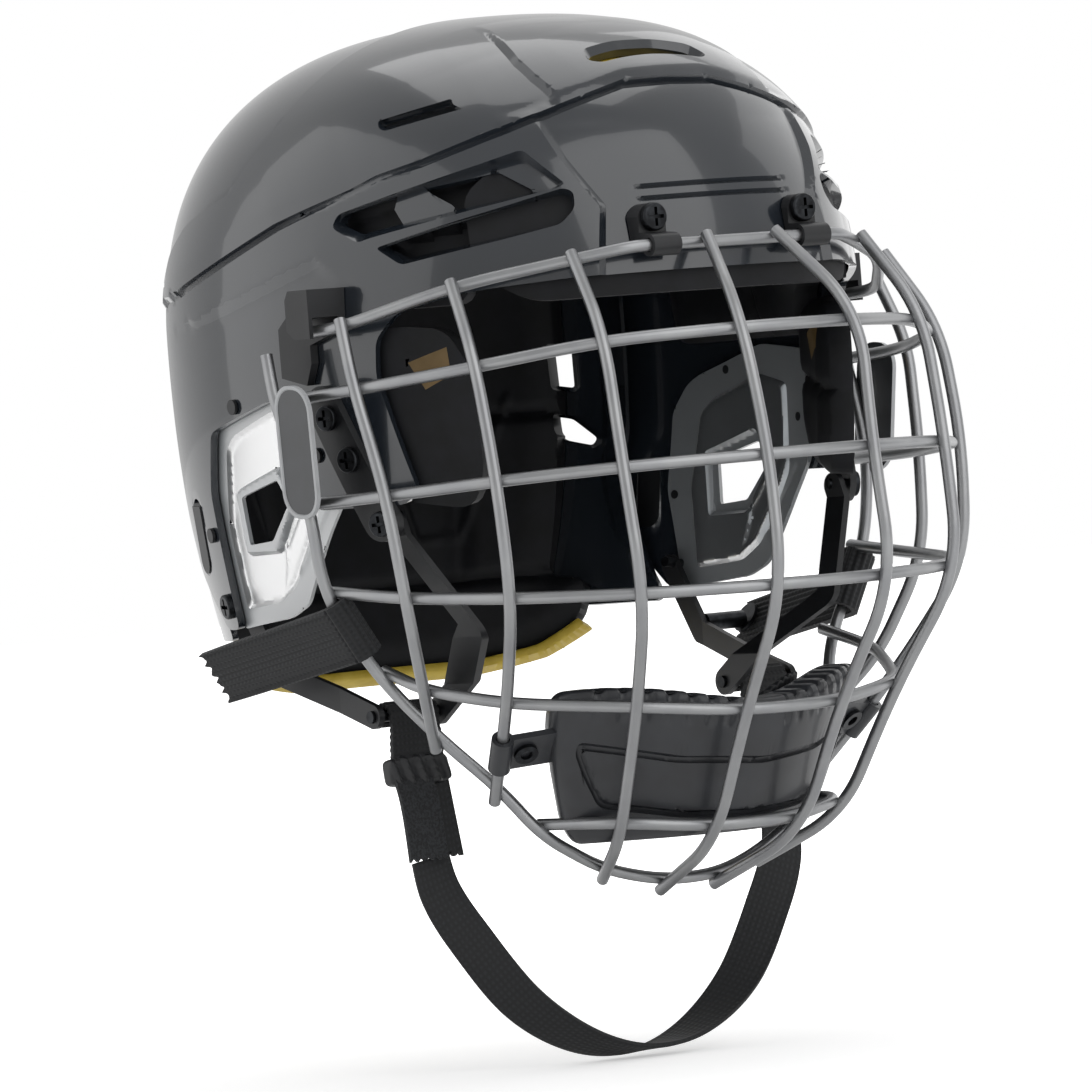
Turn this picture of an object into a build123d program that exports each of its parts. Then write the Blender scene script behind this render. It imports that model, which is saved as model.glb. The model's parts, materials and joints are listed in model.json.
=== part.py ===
"""Ice hockey helmet with a wire face cage, as an assembly of its real pieces.

Millimetres. +Z is up as worn, the helmet faces -Y and +X is the wearer's left.
The origin lies inside the head space, level with the edge of the shell over the brow.
Right-hand pieces are modelled and the left-hand ones are their mirror images.
"""
from build123d import *
import os
from math import cos, sin, tan, atan2, pi, radians, degrees, copysign, hypot

os.makedirs("parts", exist_ok=True)

# Overall sizes of the shells
shell_length = 250.0
shell_width = 210.0
shell_height = 200.0
crown_rise = 104.0
widest_level = -12.0
section_centre = 31.0
front_reach = 129.0
plan_power = 2.27
rise_power = 2.47
tuck_depth = 100.0
side_tuck_share = 0.07
rear_tuck_share = 0.15
skirt_levels_share = (-0.65, -0.62, -0.39, -0.19)
dome_angles = (0, 20, 38, 52, 64, 74, 82, 87)
section_points = 24
shell_wall = 3.0
rear_wall = 2.6
rear_drop = 1.5

# Fits and clearances
slide_gap = 0.4
size_travel = 10.0
seat_gap = 0.4
pin_gap = 0.3
screw_gap = 0.2

# Cage
wire_dia = 4.0
weld_depth = 0.8
cage_width = 240.0
cage_depth = 140.0
cage_height = 210.0
bend_run_share = 0.45
bend_trials = 12
cage_middle_share = (-0.143, -0.381)
hinge_y = -101.0
hinge_z = 9.5
hinge_straight = 41.5
hinge_bend = 15.0
wire_tail = 2.5

# Forehead clips and their screws
clip_x = 30.5
clip_width = 11.0
clip_wall = 1.4
clip_height = 27.0
screw_height = 9.1
screw_dia = 3.8
screw_head_dia = 9.3
screw_head_height = 2.6
cross_width = 1.2
cross_depth = 1.4
nut_barrel_dia = 6.0
nut_flange_dia = 11.0
nut_flange_height = 1.4
nut_barrel_length = 4.0

# Liner
liner_gap = 0.4
brow_thickness = 12.6
temple_thickness = 11.6
side_thickness = 12.6
crown_thickness = 14.6
rear_thickness = 12.5
channel_depth = 2.5
pad_draw = 3.0
crown_level = 43.0

# Ear covers, side hooks, loop anchors
cover_thickness = 1.6
cover_rib = 0.8
rivet_dia = 3.0
rivet_head_dia = 5.0
rivet_head_height = 1.0
hook_plate = 2.8
hook_reach = 114.2
hook_lip = 1.5
anchor_thickness = 2.4
anchor_width = 13.0
anchor_screw_dia = 3.4
anchor_head_dia = 8.4
anchor_head_height = 1.8

# Ear loops and chin strap
arm_width = 9.0
arm_thickness = 2.2
rear_arm_width = 8.0
strap_pivot_y = 2.0
strap_pivot_z = -137.0
loop_bar_dia = 4.0
anchor_screw_length = 8.5
arm_sink = 2.8
rear_screw_length = 13.0
tab_width = 21.0
tab_drop = 15.0
tab_thickness = 2.0
tab_grooves = 5
tab_groove_dia = 1.0
sewn_overlap = 0.6
strap_corner = 1.5
keeper_width = 25.0
keeper_height = 9.0
keeper_thickness = 6.0
wrap_width = 24.0
wrap_height = 26.0
wrap_thickness = 5.0
webbing_width = 15.0
webbing_thickness = 1.6
webbing_sections = 28
strap_lean = 8.0
strap_half_width = 72.5

# Chin cup, cage straps, label plates
cup_top = -134.0
cup_bottom = -181.0
cup_recess = 1.5
cup_grooves = 3
cup_groove_pitch = 3.0
cup_liner_thickness = 7.0
cup_grip_share = 0.5
cup_tab_width = 14.0
cup_tab_thickness = 2.4
snap_reach = 8.0
snap_dia = 8.0
snap_height = 1.2
side_strap_thickness = 2.0
side_strap_root_share = 0.4
side_strap_width = 18.0
stud_dia = 6.0
stud_flange_dia = 11.0
stud_flange_height = 1.2
plate_width = 20.0
plate_length = 44.0
plate_thickness = 1.5
plate_corner = 9.4
plate_embed = 0.2
plate_spot_share = 0.51
plate_tilt = 4.3

# Size lock tabs
tab_slot_length = 29.0
tab_slot_width = 10.6
tab_clear = 0.6
tab_proud = 0.3
tab_pin_dia = 1.4
tab_pin_depth = 1.5
tab_pin_length = 14.0
tab_pin_rise = 9.0
lock_y = 82.0
lock_z = -73.0


def side_points(shares):
    """Points of an outline seen from the side, y and z, from shares of the shell's length and height"""
    return [(shell_length * a, shell_height * b) for a, b in shares]


def front_points(shares):
    """Points of an outline seen from the front, x and z, from shares of the shell's width and height"""
    return [(shell_width * a, shell_height * b) for a, b in shares]


def top_points(shares):
    """Points of an outline seen from above, x and y, from shares of the shell's width and length"""
    return [(shell_width * a, shell_length * b) for a, b in shares]


def section_scale(z, inset):
    """How far a level section of the shell shrinks at a height: side and front, then rear"""
    if z < widest_level:
        drop = ((widest_level - z) / tuck_depth) ** 2
        return 1 - side_tuck_share * drop, 1 - rear_tuck_share * drop
    rise = min((z - widest_level) / (crown_rise - inset), 1)
    shrink = (1 - rise ** rise_power) ** (1 / rise_power)
    return shrink, shrink


def half_width(y, z, inset):
    """Half width of the shell's surface at a place on its side"""
    side, rear = section_scale(z, inset)
    reach = (shell_length - front_reach - inset) * rear if y > section_centre else (front_reach - inset) * side
    along = min(abs(y - section_centre) / reach, 1)
    return (shell_width / 2 - inset) * side * (1 - along ** plan_power) ** (1 / plan_power)


def side_seat(y, z, lift):
    """Plane on the right side of the shell, its normal outwards, lifted off the surface"""
    step = seat_gap
    lean_y = (half_width(y + step, z, 0) - half_width(y - step, z, 0)) / (step + step)
    lean_z = (half_width(y, z + step, 0) - half_width(y, z - step, 0)) / (step + step)
    normal = Vector(-1, -lean_y, -lean_z).normalized()
    return Plane(origin=Vector(-half_width(y, z, 0), y, z) + normal * lift, x_dir=(0, -1, 0), z_dir=normal)


egg_store = {}


def egg(inset, rearward=0):
    """Solid with the form of the helmet's outer surface, moved in by inset and back by rearward"""
    if (inset, rearward) in egg_store:
        return egg_store[(inset, rearward)]
    levels = []
    for share in skirt_levels_share:
        z = share * shell_height
        levels.append((z,) + section_scale(z, inset))
    for angle in dome_angles:
        shrink = cos(radians(angle)) ** (2 / rise_power)
        rise = (crown_rise - inset) * sin(radians(angle)) ** (2 / rise_power)
        levels.append((widest_level + rise, shrink, shrink))
    with BuildPart() as form:
        for z, side, rear in levels:
            points = []
            for k in range(section_points):
                angle = 2 * pi * k / section_points
                across = copysign(abs(cos(angle)) ** (2 / plan_power), cos(angle))
                along = copysign(abs(sin(angle)) ** (2 / plan_power), sin(angle))
                reach = (shell_length - front_reach - inset) * rear if along > 0 else (front_reach - inset) * side
                points.append(((shell_width / 2 - inset) * side * across,
                               section_centre - rearward + reach * along))
            with BuildSketch(Plane.XY.offset(z)):
                with BuildLine():
                    Spline(*points, periodic=True)
                make_face()
        loft()
    egg_store[(inset, rearward)] = form.part
    return form.part


def side_prism(points, reach=shell_width):
    """Prism across the whole helmet with an outline drawn from the side"""
    with BuildPart() as prism:
        with BuildSketch(Plane.YZ):
            with BuildLine():
                Polyline(*points, close=True)
            make_face()
        extrude(amount=reach, both=True)
    return prism.part


def right_prism(points):
    """Prism on the helmet's right side only, with an outline drawn from the side"""
    with BuildPart() as prism:
        with BuildSketch(Plane.YZ):
            with BuildLine():
                Polyline(*points, close=True)
            make_face()
        extrude(amount=-shell_width)
    return prism.part


def front_prism(points):
    """Prism over the front half, with an outline drawn from the front"""
    with BuildPart() as prism:
        with BuildSketch(Plane.XZ):
            with BuildLine():
                Polyline(*points, close=True)
            make_face()
        extrude(amount=shell_length)
    return prism.part


def top_prism(points):
    """Prism over the crown, with an outline drawn from above"""
    with BuildPart() as prism:
        with BuildSketch(Plane.XY.offset(crown_level)):
            with BuildLine():
                Polyline(*points, close=True)
            make_face()
        extrude(amount=shell_height)
    return prism.part


def facing_plane(turn):
    """Upright plane through the origin that faces the given turn from the right side towards the front"""
    return Plane(origin=(0, 0, 0), x_dir=(sin(turn), -cos(turn), 0), z_dir=(-cos(turn), -sin(turn), 0))


def mirrored(part):
    """Left-hand copy of a right-hand piece"""
    with BuildPart() as copy:
        mirror(part, about=Plane.YZ)
    return copy.part


def save(part, name):
    """Label one piece and write its file"""
    part.label = name
    export_step(part, f"parts/{name}.step")


def save_pair(part, name):
    """Write a right-hand piece and its left-hand copy"""
    save(part, name + "_right")
    save(mirrored(part), name + "_left")


# Outlines of the shells, as shares of the shell's length and height
rear_edge_share = [(0.088, 0.65), (0.1, 0.42), (0.124, 0.3), (0.184, 0.19), (0.296, 0.15),
    (0.352, 0.105), (0.38, 0.04), (0.388, -0.02), (0.388, -0.34), (0.368, -0.43),
    (0.288, -0.53)]
face_edge_share = [(0.248, -0.53), (0.264, -0.3), (0.24, -0.2), (0.088, -0.155), (0.016, -0.17),
    (0.012, -0.34), (-0.136, -0.34), (-0.156, -0.32), (-0.116, -0.13),
    (-0.12, -0.07), (-0.152, -0.03), (-0.24, -0.005), (-0.34, 0.005),
    (-0.52, 0.01), (-0.52, 0.65)]
nape_share = [(0.4, -0.55), (0.68, -0.5), (0.68, 0.65)]
flange_share = [(0, 0.65), (0.008, 0.42), (0.048, 0.29), (0.112, 0.18), (0.216, 0.14),
    (0.272, 0.09), (0.304, 0.01), (0.304, -0.48), (0.68, -0.48), (0.68, 0.65)]
vent_turn = radians(44)
upper_vent_share = [(-0.117, 0.165), (0.035, 0.194), (0.058, 0.15), (-0.068, 0.133)]
small_vent_share = [(-0.245, 0.114), (-0.145, 0.12), (-0.147, 0.087)]
lower_vent_share = [(-0.2, 0.079), (0.107, 0.138), (0.094, 0.107), (-0.162, 0.052)]
side_slot_share = [(-0.197, 0.28), (-0.076, 0.31), (-0.058, 0.289), (-0.187, 0.268)]
crown_slot_length = 48.0
crown_slot_width = 10.0
crown_slot_y = -57.0
groove_length = 62.0
groove_width = 1.8
groove_depth = 1.2
groove_levels = (29.0, 25.0)
rear_vent_turn = radians(49.5)
rear_vent_upper_share = [(-0.072, -0.09), (-0.026, -0.095), (-0.025, -0.18), (-0.069, -0.17)]
rear_vent_lower_share = [(-0.071, -0.21), (-0.033, -0.22), (0.01, -0.265), (0, -0.28),
    (-0.048, -0.265), (-0.069, -0.245)]


def shifted(points, distance):
    """Rear edge moved back, and away from the front shell above and below"""
    return [(y + distance, z + copysign(distance, z)) for y, z in points]


def temple_cutters():
    """Right-hand temple vents and upper side slot"""
    with BuildPart() as cutters:
        for share in (upper_vent_share, small_vent_share, lower_vent_share, side_slot_share):
            with BuildSketch(facing_plane(vent_turn)):
                with BuildLine():
                    Polyline(*front_points(share), close=True)
                make_face()
            extrude(amount=shell_length)
    return cutters.part


def rear_vent_cutters():
    """Right-hand vents beside the back of the head"""
    with BuildPart() as cutters:
        for share in (rear_vent_upper_share, rear_vent_lower_share):
            with BuildSketch(Plane(origin=(0, 0, 0), x_dir=(-sin(rear_vent_turn), -cos(rear_vent_turn), 0),
                                   z_dir=(-cos(rear_vent_turn), sin(rear_vent_turn), 0))):
                with BuildLine():
                    Polyline(*front_points(share), close=True)
                make_face()
            extrude(amount=shell_length)
    return cutters.part


# Places on the shell that several pieces share
screw_z = hinge_z + screw_height
anchor_screw_places = side_points([(-0.04, -0.19), (-0.068, -0.26)])
cover_rivet_places = side_points([(-0.002, -0.25), (0.168, -0.16), (0.278, -0.37)])
rear_screw_place = side_points([(0.266, -0.49)])[0]
lock_seat = side_seat(lock_y, lock_z, 0)
lock_pin_plane = Plane(origin=lock_seat.from_local_coords((0, tab_pin_rise, -tab_pin_depth)),
                       x_dir=lock_seat.y_dir, z_dir=lock_seat.x_dir)


def axis_cylinder(plane, dia, start, length):
    """Cylinder along a plane's normal"""
    with BuildPart() as cylinder:
        with BuildSketch(plane.offset(start)):
            Circle(dia / 2)
        extrude(amount=length)
    return cylinder.part


def front_plane(x, z, y=0):
    """Plane facing the front at a place"""
    return Plane(origin=(x, y, z), x_dir=(1, 0, 0), z_dir=(0, -1, 0))


# Cutters for the front shell
with BuildPart() as crown_slot:
    with BuildSketch(Plane.XY):
        with Locations((0, crown_slot_y)):
            SlotOverall(crown_slot_length, crown_slot_width)
    extrude(amount=shell_height)
with BuildPart() as grooves:
    with BuildSketch(Plane.XZ):
        with Locations(*[(0, z) for z in groove_levels]):
            SlotOverall(groove_length, groove_width)
    extrude(amount=shell_length)
    add(egg(groove_depth), mode=Mode.SUBTRACT)
with BuildPart() as lock_opening:
    with BuildSketch(lock_seat.offset(-shell_wall - shell_wall)):
        SlotOverall(tab_slot_length, tab_slot_width, rotation=90)
    extrude(amount=shell_wall * 4)
    with BuildSketch(lock_pin_plane):
        Circle(tab_pin_dia / 2 + pin_gap)
    extrude(amount=tab_pin_length / 2 + pin_gap, both=True)
hole_places = [(y, z, anchor_screw_dia) for y, z in anchor_screw_places + [rear_screw_place]]
hole_places += [(y, z, rivet_dia) for y, z in cover_rivet_places]
side_holes = [axis_cylinder(side_seat(y, z, 0), dia + screw_gap + screw_gap, -shell_wall - shell_wall,
                            shell_wall * 3) for y, z, dia in hole_places]

# Front shell
with BuildPart() as front_shell:
    add(egg(0))
    add(egg(shell_wall), mode=Mode.SUBTRACT)
    add(side_prism(side_points(rear_edge_share + face_edge_share)), mode=Mode.INTERSECT)
    for cutter in [temple_cutters(), lock_opening.part] + side_holes:
        add(cutter, mode=Mode.SUBTRACT)
        add(mirrored(cutter), mode=Mode.SUBTRACT)
    add(crown_slot.part, mode=Mode.SUBTRACT)
    add(grooves.part, mode=Mode.SUBTRACT)
    for side in (-1, 1):
        add(axis_cylinder(front_plane(side * clip_x, screw_z), nut_barrel_dia + screw_gap + screw_gap,
                          0, shell_length), mode=Mode.SUBTRACT)
save(front_shell.part, "front_shell")

# Rear shell: an exposed wall behind the parting edge and a flange that runs under the front shell
with BuildPart() as rear_flange:
    add(egg(shell_wall + slide_gap))
    add(egg(shell_wall + slide_gap, size_travel), mode=Mode.INTERSECT)
    add(side_prism(side_points(flange_share)), mode=Mode.INTERSECT)
exposed_edge = shifted(side_points(rear_edge_share), slide_gap)
hollow_edge = shifted(side_points(rear_edge_share), slide_gap + rear_wall)
below = [(shell_length, -shell_height), (shell_length, shell_height)]
with BuildPart() as rear_hollow:
    add(egg(rear_drop + rear_wall))
    add(side_prism(hollow_edge + [(hollow_edge[-1][0], -shell_height)] + below), mode=Mode.INTERSECT)
with BuildPart() as rear_core:
    add(egg(shell_wall + slide_gap + rear_wall))
    add(egg(shell_wall + slide_gap + rear_wall, size_travel), mode=Mode.INTERSECT)
with BuildPart() as rear_shell:
    add(egg(rear_drop))
    add(side_prism(exposed_edge + side_points(nape_share)), mode=Mode.INTERSECT)
    add(rear_flange.part)
    add(rear_hollow.part, mode=Mode.SUBTRACT)
    add(rear_core.part, mode=Mode.SUBTRACT)
    add(rear_vent_cutters(), mode=Mode.SUBTRACT)
    add(mirrored(rear_vent_cutters()), mode=Mode.SUBTRACT)
save(rear_shell.part, "rear_shell")

# Liner outlines, as shares of the shell's sizes
brow_share = [(-0.267, -0.03), (0.267, -0.03), (0.314, 0.02), (0.305, 0.13),
    (0.229, 0.195), (-0.229, 0.195), (-0.305, 0.13), (-0.314, 0.02)]
temple_share = [(-0.184, -0.35), (-0.104, -0.33), (-0.072, -0.26), (-0.068, -0.07),
    (-0.112, -0.05), (-0.176, -0.06), (-0.2, -0.13), (-0.2, -0.29)]
side_share = [(-0.2, -0.025), (-0.056, -0.025), (-0.048, -0.11), (0.224, -0.11),
    (0.236, -0.025), (0.216, 0.075), (0.172, 0.125), (0.072, 0.16),
    (0.048, 0.21), (-0.168, 0.21), (-0.2, 0.17)]
front_crown_share = [(-0.2, -0.208), (0.2, -0.208), (0.238, -0.12), (0.219, -0.016),
    (-0.219, -0.016), (-0.238, -0.12)]
rear_crown_share = [(-0.219, 0.12), (0.219, 0.12), (0.267, 0.208), (0.21, 0.352), (-0.21, 0.352),
    (-0.267, 0.208)]
rear_pad_share = [(0.404, 0.18), (0.404, -0.49), (0.364, -0.495), (0.364, -0.565),
    (0.4, -0.605), (0.44, -0.623), (0.68, -0.623), (0.68, 0.18)]
brow_channel_share = [(-0.314, 0.085), (0.314, 0.085), (0.314, 0.07), (-0.314, 0.07)]
temple_channel_share = [(-0.2, -0.2), (-0.068, -0.17), (-0.068, -0.185), (-0.2, -0.215)]
side_channel_share = [(-0.2, 0.075), (0.216, 0.025), (0.216, 0.01), (-0.2, 0.06)]
front_crown_channel_share = [(-0.238, -0.108), (0.238, -0.108), (0.238, -0.12), (-0.238, -0.12)]
rear_crown_channel_share = [(-0.267, 0.24), (0.267, 0.24), (0.267, 0.228), (-0.267, 0.228)]
rear_channel_share = [(0.36, -0.2), (0.68, -0.2), (0.68, -0.215), (0.36, -0.215)]
rear_trim_share = [(0.363, -0.567), (0.399, -0.607), (0.439, -0.625), (0.68, -0.625),
    (0.68, -0.64), (0.437, -0.64), (0.391, -0.619), (0.355, -0.578)]


def grown(points, distance):
    """Outline drawn off its own middle by a distance"""
    middle_a = sum(a for a, b in points) / len(points)
    middle_b = sum(b for a, b in points) / len(points)
    moved = []
    for a, b in points:
        reach = hypot(a - middle_a, b - middle_b)
        moved.append((a + (a - middle_a) * distance / reach, b + (b - middle_b) * distance / reach))
    return moved


def liner_layer(outer, thickness):
    """Layer inside the shell, from one inset to another"""
    with BuildPart() as layer:
        add(egg(outer))
        add(egg(outer + thickness), mode=Mode.SUBTRACT)
    return layer.part


def cushion(points, prism, outer, thickness, grooves):
    """Foam pad with a crowned inner face drawn in at its edges and channels sunk into it"""
    with BuildPart() as crown:
        add(liner_layer(outer, thickness))
        add(prism(grown(points, -pad_draw)), mode=Mode.INTERSECT)
    with BuildPart() as sunk:
        add(grooves)
        add(egg(outer + thickness - channel_depth), mode=Mode.INTERSECT)
    with BuildPart() as pad:
        add(liner_layer(outer, thickness - pad_draw))
        add(prism(points), mode=Mode.INTERSECT)
        add(crown.part)
        add(sunk.part, mode=Mode.SUBTRACT)
    return pad.part


front_outer = shell_wall + liner_gap
rear_outer = rear_drop + rear_wall + liner_gap
with BuildPart() as nut_pockets:
    for side in (-1, 1):
        add(axis_cylinder(front_plane(side * clip_x, screw_z), nut_flange_dia + pin_gap * 4, shell_length / 3,
                          shell_length / 3))
with BuildPart() as brow_pad:
    add(cushion(front_points(brow_share), front_prism, front_outer, brow_thickness,
                front_prism(front_points(brow_channel_share))))
    add(nut_pockets.part, mode=Mode.SUBTRACT)
save(brow_pad.part, "brow_pad")
save_pair(cushion(side_points(temple_share), right_prism, front_outer, temple_thickness,
                  right_prism(side_points(temple_channel_share))), "temple_pad")
save_pair(cushion(side_points(side_share), right_prism, front_outer, side_thickness,
                  right_prism(side_points(side_channel_share))), "side_pad")
save(cushion(top_points(front_crown_share), top_prism, front_outer, crown_thickness,
             top_prism(top_points(front_crown_channel_share))), "front_crown_pad")
save(cushion(top_points(rear_crown_share), top_prism, rear_outer, crown_thickness,
             top_prism(top_points(rear_crown_channel_share))), "rear_crown_pad")
with BuildPart() as rear_pad:
    add(cushion(side_points(rear_pad_share), side_prism, rear_outer, rear_thickness,
                side_prism(side_points(rear_channel_share))))
    add(rear_vent_cutters(), mode=Mode.SUBTRACT)
    add(mirrored(rear_vent_cutters()), mode=Mode.SUBTRACT)
save(rear_pad.part, "rear_pad")
with BuildPart() as rear_pad_trim:
    add(liner_layer(rear_outer, rear_thickness))
    add(side_prism(side_points(rear_trim_share)), mode=Mode.INTERSECT)
save(rear_pad_trim.part, "rear_pad_trim")

# Forehead clips: a loop that carries the cage's top wire under a plate screwed to the shell
loop_radius = wire_dia / 2 + pin_gap + clip_wall
plate_share = [(-0.412, 0.055), (-0.392, 0.04), (-0.344, 0.065), (-0.336, 0.13),
    (-0.386, 0.13), (-0.386, 0.068), (-0.404, 0.066)]
with BuildPart() as clip_profile:
    with BuildSketch(Plane.YZ.offset(clip_x - clip_width / 2)):
        with BuildLine():
            Polyline(*side_points(plate_share), close=True)
        make_face()
        with Locations((hinge_y, hinge_z)):
            Circle(loop_radius)
            Circle(wire_dia / 2 + pin_gap, mode=Mode.SUBTRACT)
    extrude(amount=clip_width)
with BuildPart() as clip_left:
    add(clip_profile.part)
    with BuildSketch(Plane.XZ):
        with Locations((clip_x, screw_z - clip_height / 3)):
            SlotOverall(clip_height, clip_width + seat_gap, rotation=90)
    extrude(amount=shell_length, mode=Mode.INTERSECT)
    add(egg(-screw_gap), mode=Mode.SUBTRACT)
    add(axis_cylinder(front_plane(clip_x, screw_z), screw_dia + screw_gap + screw_gap, 0, shell_length),
        mode=Mode.SUBTRACT)
with BuildPart() as forehead_clips:
    add(clip_left.part)
    add(mirrored(clip_left.part))
save(forehead_clips.part, "forehead_clips")


def cross_head(plane, dia, height, shank_dia, shank_length):
    """Pan-head screw seated on a plane, its shank behind it and a cross cut in its head"""
    with BuildPart() as screw:
        with BuildSketch(plane):
            Circle(dia / 2)
        extrude(amount=height)
        fillet(screw.edges().filter_by(GeomType.CIRCLE).sort_by(lambda e: (e.center() - plane.origin).dot(
            plane.z_dir))[-1], height / 3)
        with BuildSketch(plane):
            Circle(shank_dia / 2)
        extrude(amount=-shank_length)
        with BuildSketch(plane.offset(height)):
            Rectangle(dia * 2 / 3, cross_width)
            Rectangle(cross_width, dia * 2 / 3)
        extrude(amount=-cross_depth, mode=Mode.SUBTRACT)
    return screw.part


plate_front_y = plate_share[4][0] * shell_length
inner_front = section_centre - (front_reach - shell_wall) * section_scale(screw_z, shell_wall)[0] * (
    1 - (clip_x / (shell_width / 2 - shell_wall)) ** plan_power) ** (1 / plan_power)
nut_seat_y = inner_front + nut_flange_dia / 4 + screw_gap
with BuildPart() as forehead_screws:
    for side in (-1, 1):
        add(cross_head(front_plane(side * clip_x, screw_z, plate_front_y), screw_head_dia, screw_head_height,
                       screw_dia, nut_seat_y - plate_front_y + nut_flange_height))
save(forehead_screws.part, "forehead_screws")
with BuildPart() as forehead_nuts:
    for side in (-1, 1):
        seat = front_plane(side * clip_x, screw_z, nut_seat_y)
        with BuildSketch(seat):
            Circle(nut_flange_dia / 2)
        extrude(amount=-nut_flange_height)
        with BuildSketch(seat):
            Circle(nut_barrel_dia / 2)
        extrude(amount=nut_barrel_length)
    for side in (-1, 1):
        add(axis_cylinder(front_plane(side * clip_x, screw_z, nut_seat_y), screw_dia + screw_gap + screw_gap,
                          -nut_flange_height, nut_flange_height + nut_barrel_length), mode=Mode.SUBTRACT)
save(forehead_nuts.part, "forehead_nuts")

# Ear covers of clear plastic, with a raised rim round the window
cover_share = [(0.276, -0.225), (0.248, -0.18), (0.224, -0.165), (0.088, -0.12),
    (-0.024, -0.135), (-0.028, -0.32), (0.012, -0.38), (0.08, -0.495),
    (0.124, -0.515), (0.256, -0.53), (0.288, -0.36)]
window_share = [(0.195, -0.31), (0.104, -0.285), (0.084, -0.325), (0.132, -0.385),
    (0.19, -0.39)]
cover_outer = shell_wall + pin_gap
rim_reach = cover_thickness * 2
with BuildPart() as window_rim:
    add(liner_layer(cover_outer - cover_rib, cover_rib + cover_rib))
    add(right_prism(grown(side_points(window_share), rim_reach)), mode=Mode.INTERSECT)
with BuildPart() as ear_cover:
    add(liner_layer(cover_outer, cover_thickness))
    add(right_prism(side_points(cover_share)), mode=Mode.INTERSECT)
    add(window_rim.part)
    add(right_prism(side_points(window_share)), mode=Mode.SUBTRACT)
    for hole in side_holes:
        add(hole, mode=Mode.SUBTRACT)
save_pair(ear_cover.part, "ear_cover")

with BuildPart() as right_rivets:
    for y, z in cover_rivet_places:
        seat = side_seat(y, z, 0)
        add(axis_cylinder(seat, rivet_head_dia, pin_gap, rivet_head_height))
        add(axis_cylinder(seat, rivet_dia, -cover_outer - cover_thickness,
                          cover_outer + cover_thickness + pin_gap))
with BuildPart() as ear_cover_rivets:
    add(right_rivets.part)
    add(mirrored(right_rivets.part))
save(ear_cover_rivets.part, "ear_cover_rivets")

# Side hooks that the ends of the cage's top wire rest under
hook_plate_share = [(-0.076, 0.015), (-0.016, 0.015), (0.036, -0.04), (0.036, -0.12),
    (-0.012, -0.135), (-0.024, -0.1), (-0.024, -0.07), (-0.076, -0.05)]
hook_lip_share = [(-0.076, 0.02), (-0.032, 0.02), (-0.024, 0.005), (-0.024, -0.028),
    (-0.076, -0.026)]
hook_guard_share = [(-0.076, 0.02), (-0.032, 0.02), (-0.024, 0.005), (-0.024, -0.045),
    (-0.04, -0.06), (-0.076, -0.06)]
with BuildPart() as hook_block:
    with BuildSketch(Plane.YZ.offset(-hook_reach)):
        with BuildLine():
            Polyline(*side_points(hook_lip_share), close=True)
        make_face()
    extrude(amount=hook_reach - shell_width / 3)
    add(egg(-pin_gap), mode=Mode.SUBTRACT)
with BuildPart() as side_hook:
    add(egg(-pin_gap - hook_plate))
    add(egg(-pin_gap), mode=Mode.SUBTRACT)
    add(right_prism(side_points(hook_plate_share)), mode=Mode.INTERSECT)
    add(hook_block.part)
    with BuildSketch(Plane.YZ.offset(-hook_reach)):
        with BuildLine():
            Polyline(*side_points(hook_guard_share), close=True)
        make_face()
    extrude(amount=hook_lip)
with BuildPart() as side_hooks:
    add(side_hook.part)
    add(mirrored(side_hook.part))
save(side_hooks.part, "side_hooks")


def stroke(plane, points, width, reach):
    """Bar that follows a line of points drawn on a plane, with rounded ends, extruded both ways"""
    with BuildPart() as bar:
        with BuildSketch(plane):
            for start, end in zip(points, points[1:]):
                run = Vector(*end) - Vector(*start)
                with Locations(((start[0] + end[0]) / 2, (start[1] + end[1]) / 2)):
                    SlotCenterToCenter(run.length, width, rotation=degrees(atan2(run.Y, run.X)))
        extrude(amount=reach, both=True)
    return bar.part


# Anchors of the ear loops, screwed to the shell in front of the ears
anchor_share = [(-0.032, -0.17), (-0.104, -0.365)]
arm_head_place = side_points([(-0.104, -0.367)])[0]
arm_head_x = half_width(arm_head_place[0], arm_head_place[1], 0) - arm_sink - arm_thickness / 2
anchor_out = pin_gap + anchor_thickness
arm_head_seat = side_seat(arm_head_place[0], arm_head_place[1], anchor_out + screw_gap)
arm_head_hole = axis_cylinder(arm_head_seat, anchor_screw_dia + screw_gap * 2, -shell_wall * 5, shell_wall * 6)
with BuildPart() as loop_anchor:
    add(egg(-anchor_out))
    add(egg(-screw_gap), mode=Mode.SUBTRACT)
    add(stroke(Plane.YZ.offset(-shell_width / 2), side_points(anchor_share), anchor_width, shell_width / 3),
        mode=Mode.INTERSECT)
    for hole in side_holes:
        add(hole, mode=Mode.SUBTRACT)
    add(arm_head_hole, mode=Mode.SUBTRACT)
save_pair(loop_anchor.part, "loop_anchor")
anchor_seats = [side_seat(y, z, anchor_out + screw_gap) for y, z in anchor_screw_places]
anchor_seats.append(arm_head_seat)
with BuildPart() as right_anchor_screws:
    for seat in anchor_seats:
        add(cross_head(seat, anchor_head_dia, anchor_head_height, anchor_screw_dia, anchor_screw_length))
with BuildPart() as anchor_screws:
    add(right_anchor_screws.part)
    add(mirrored(right_anchor_screws.part))
save(anchor_screws.part, "anchor_screws")

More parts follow.
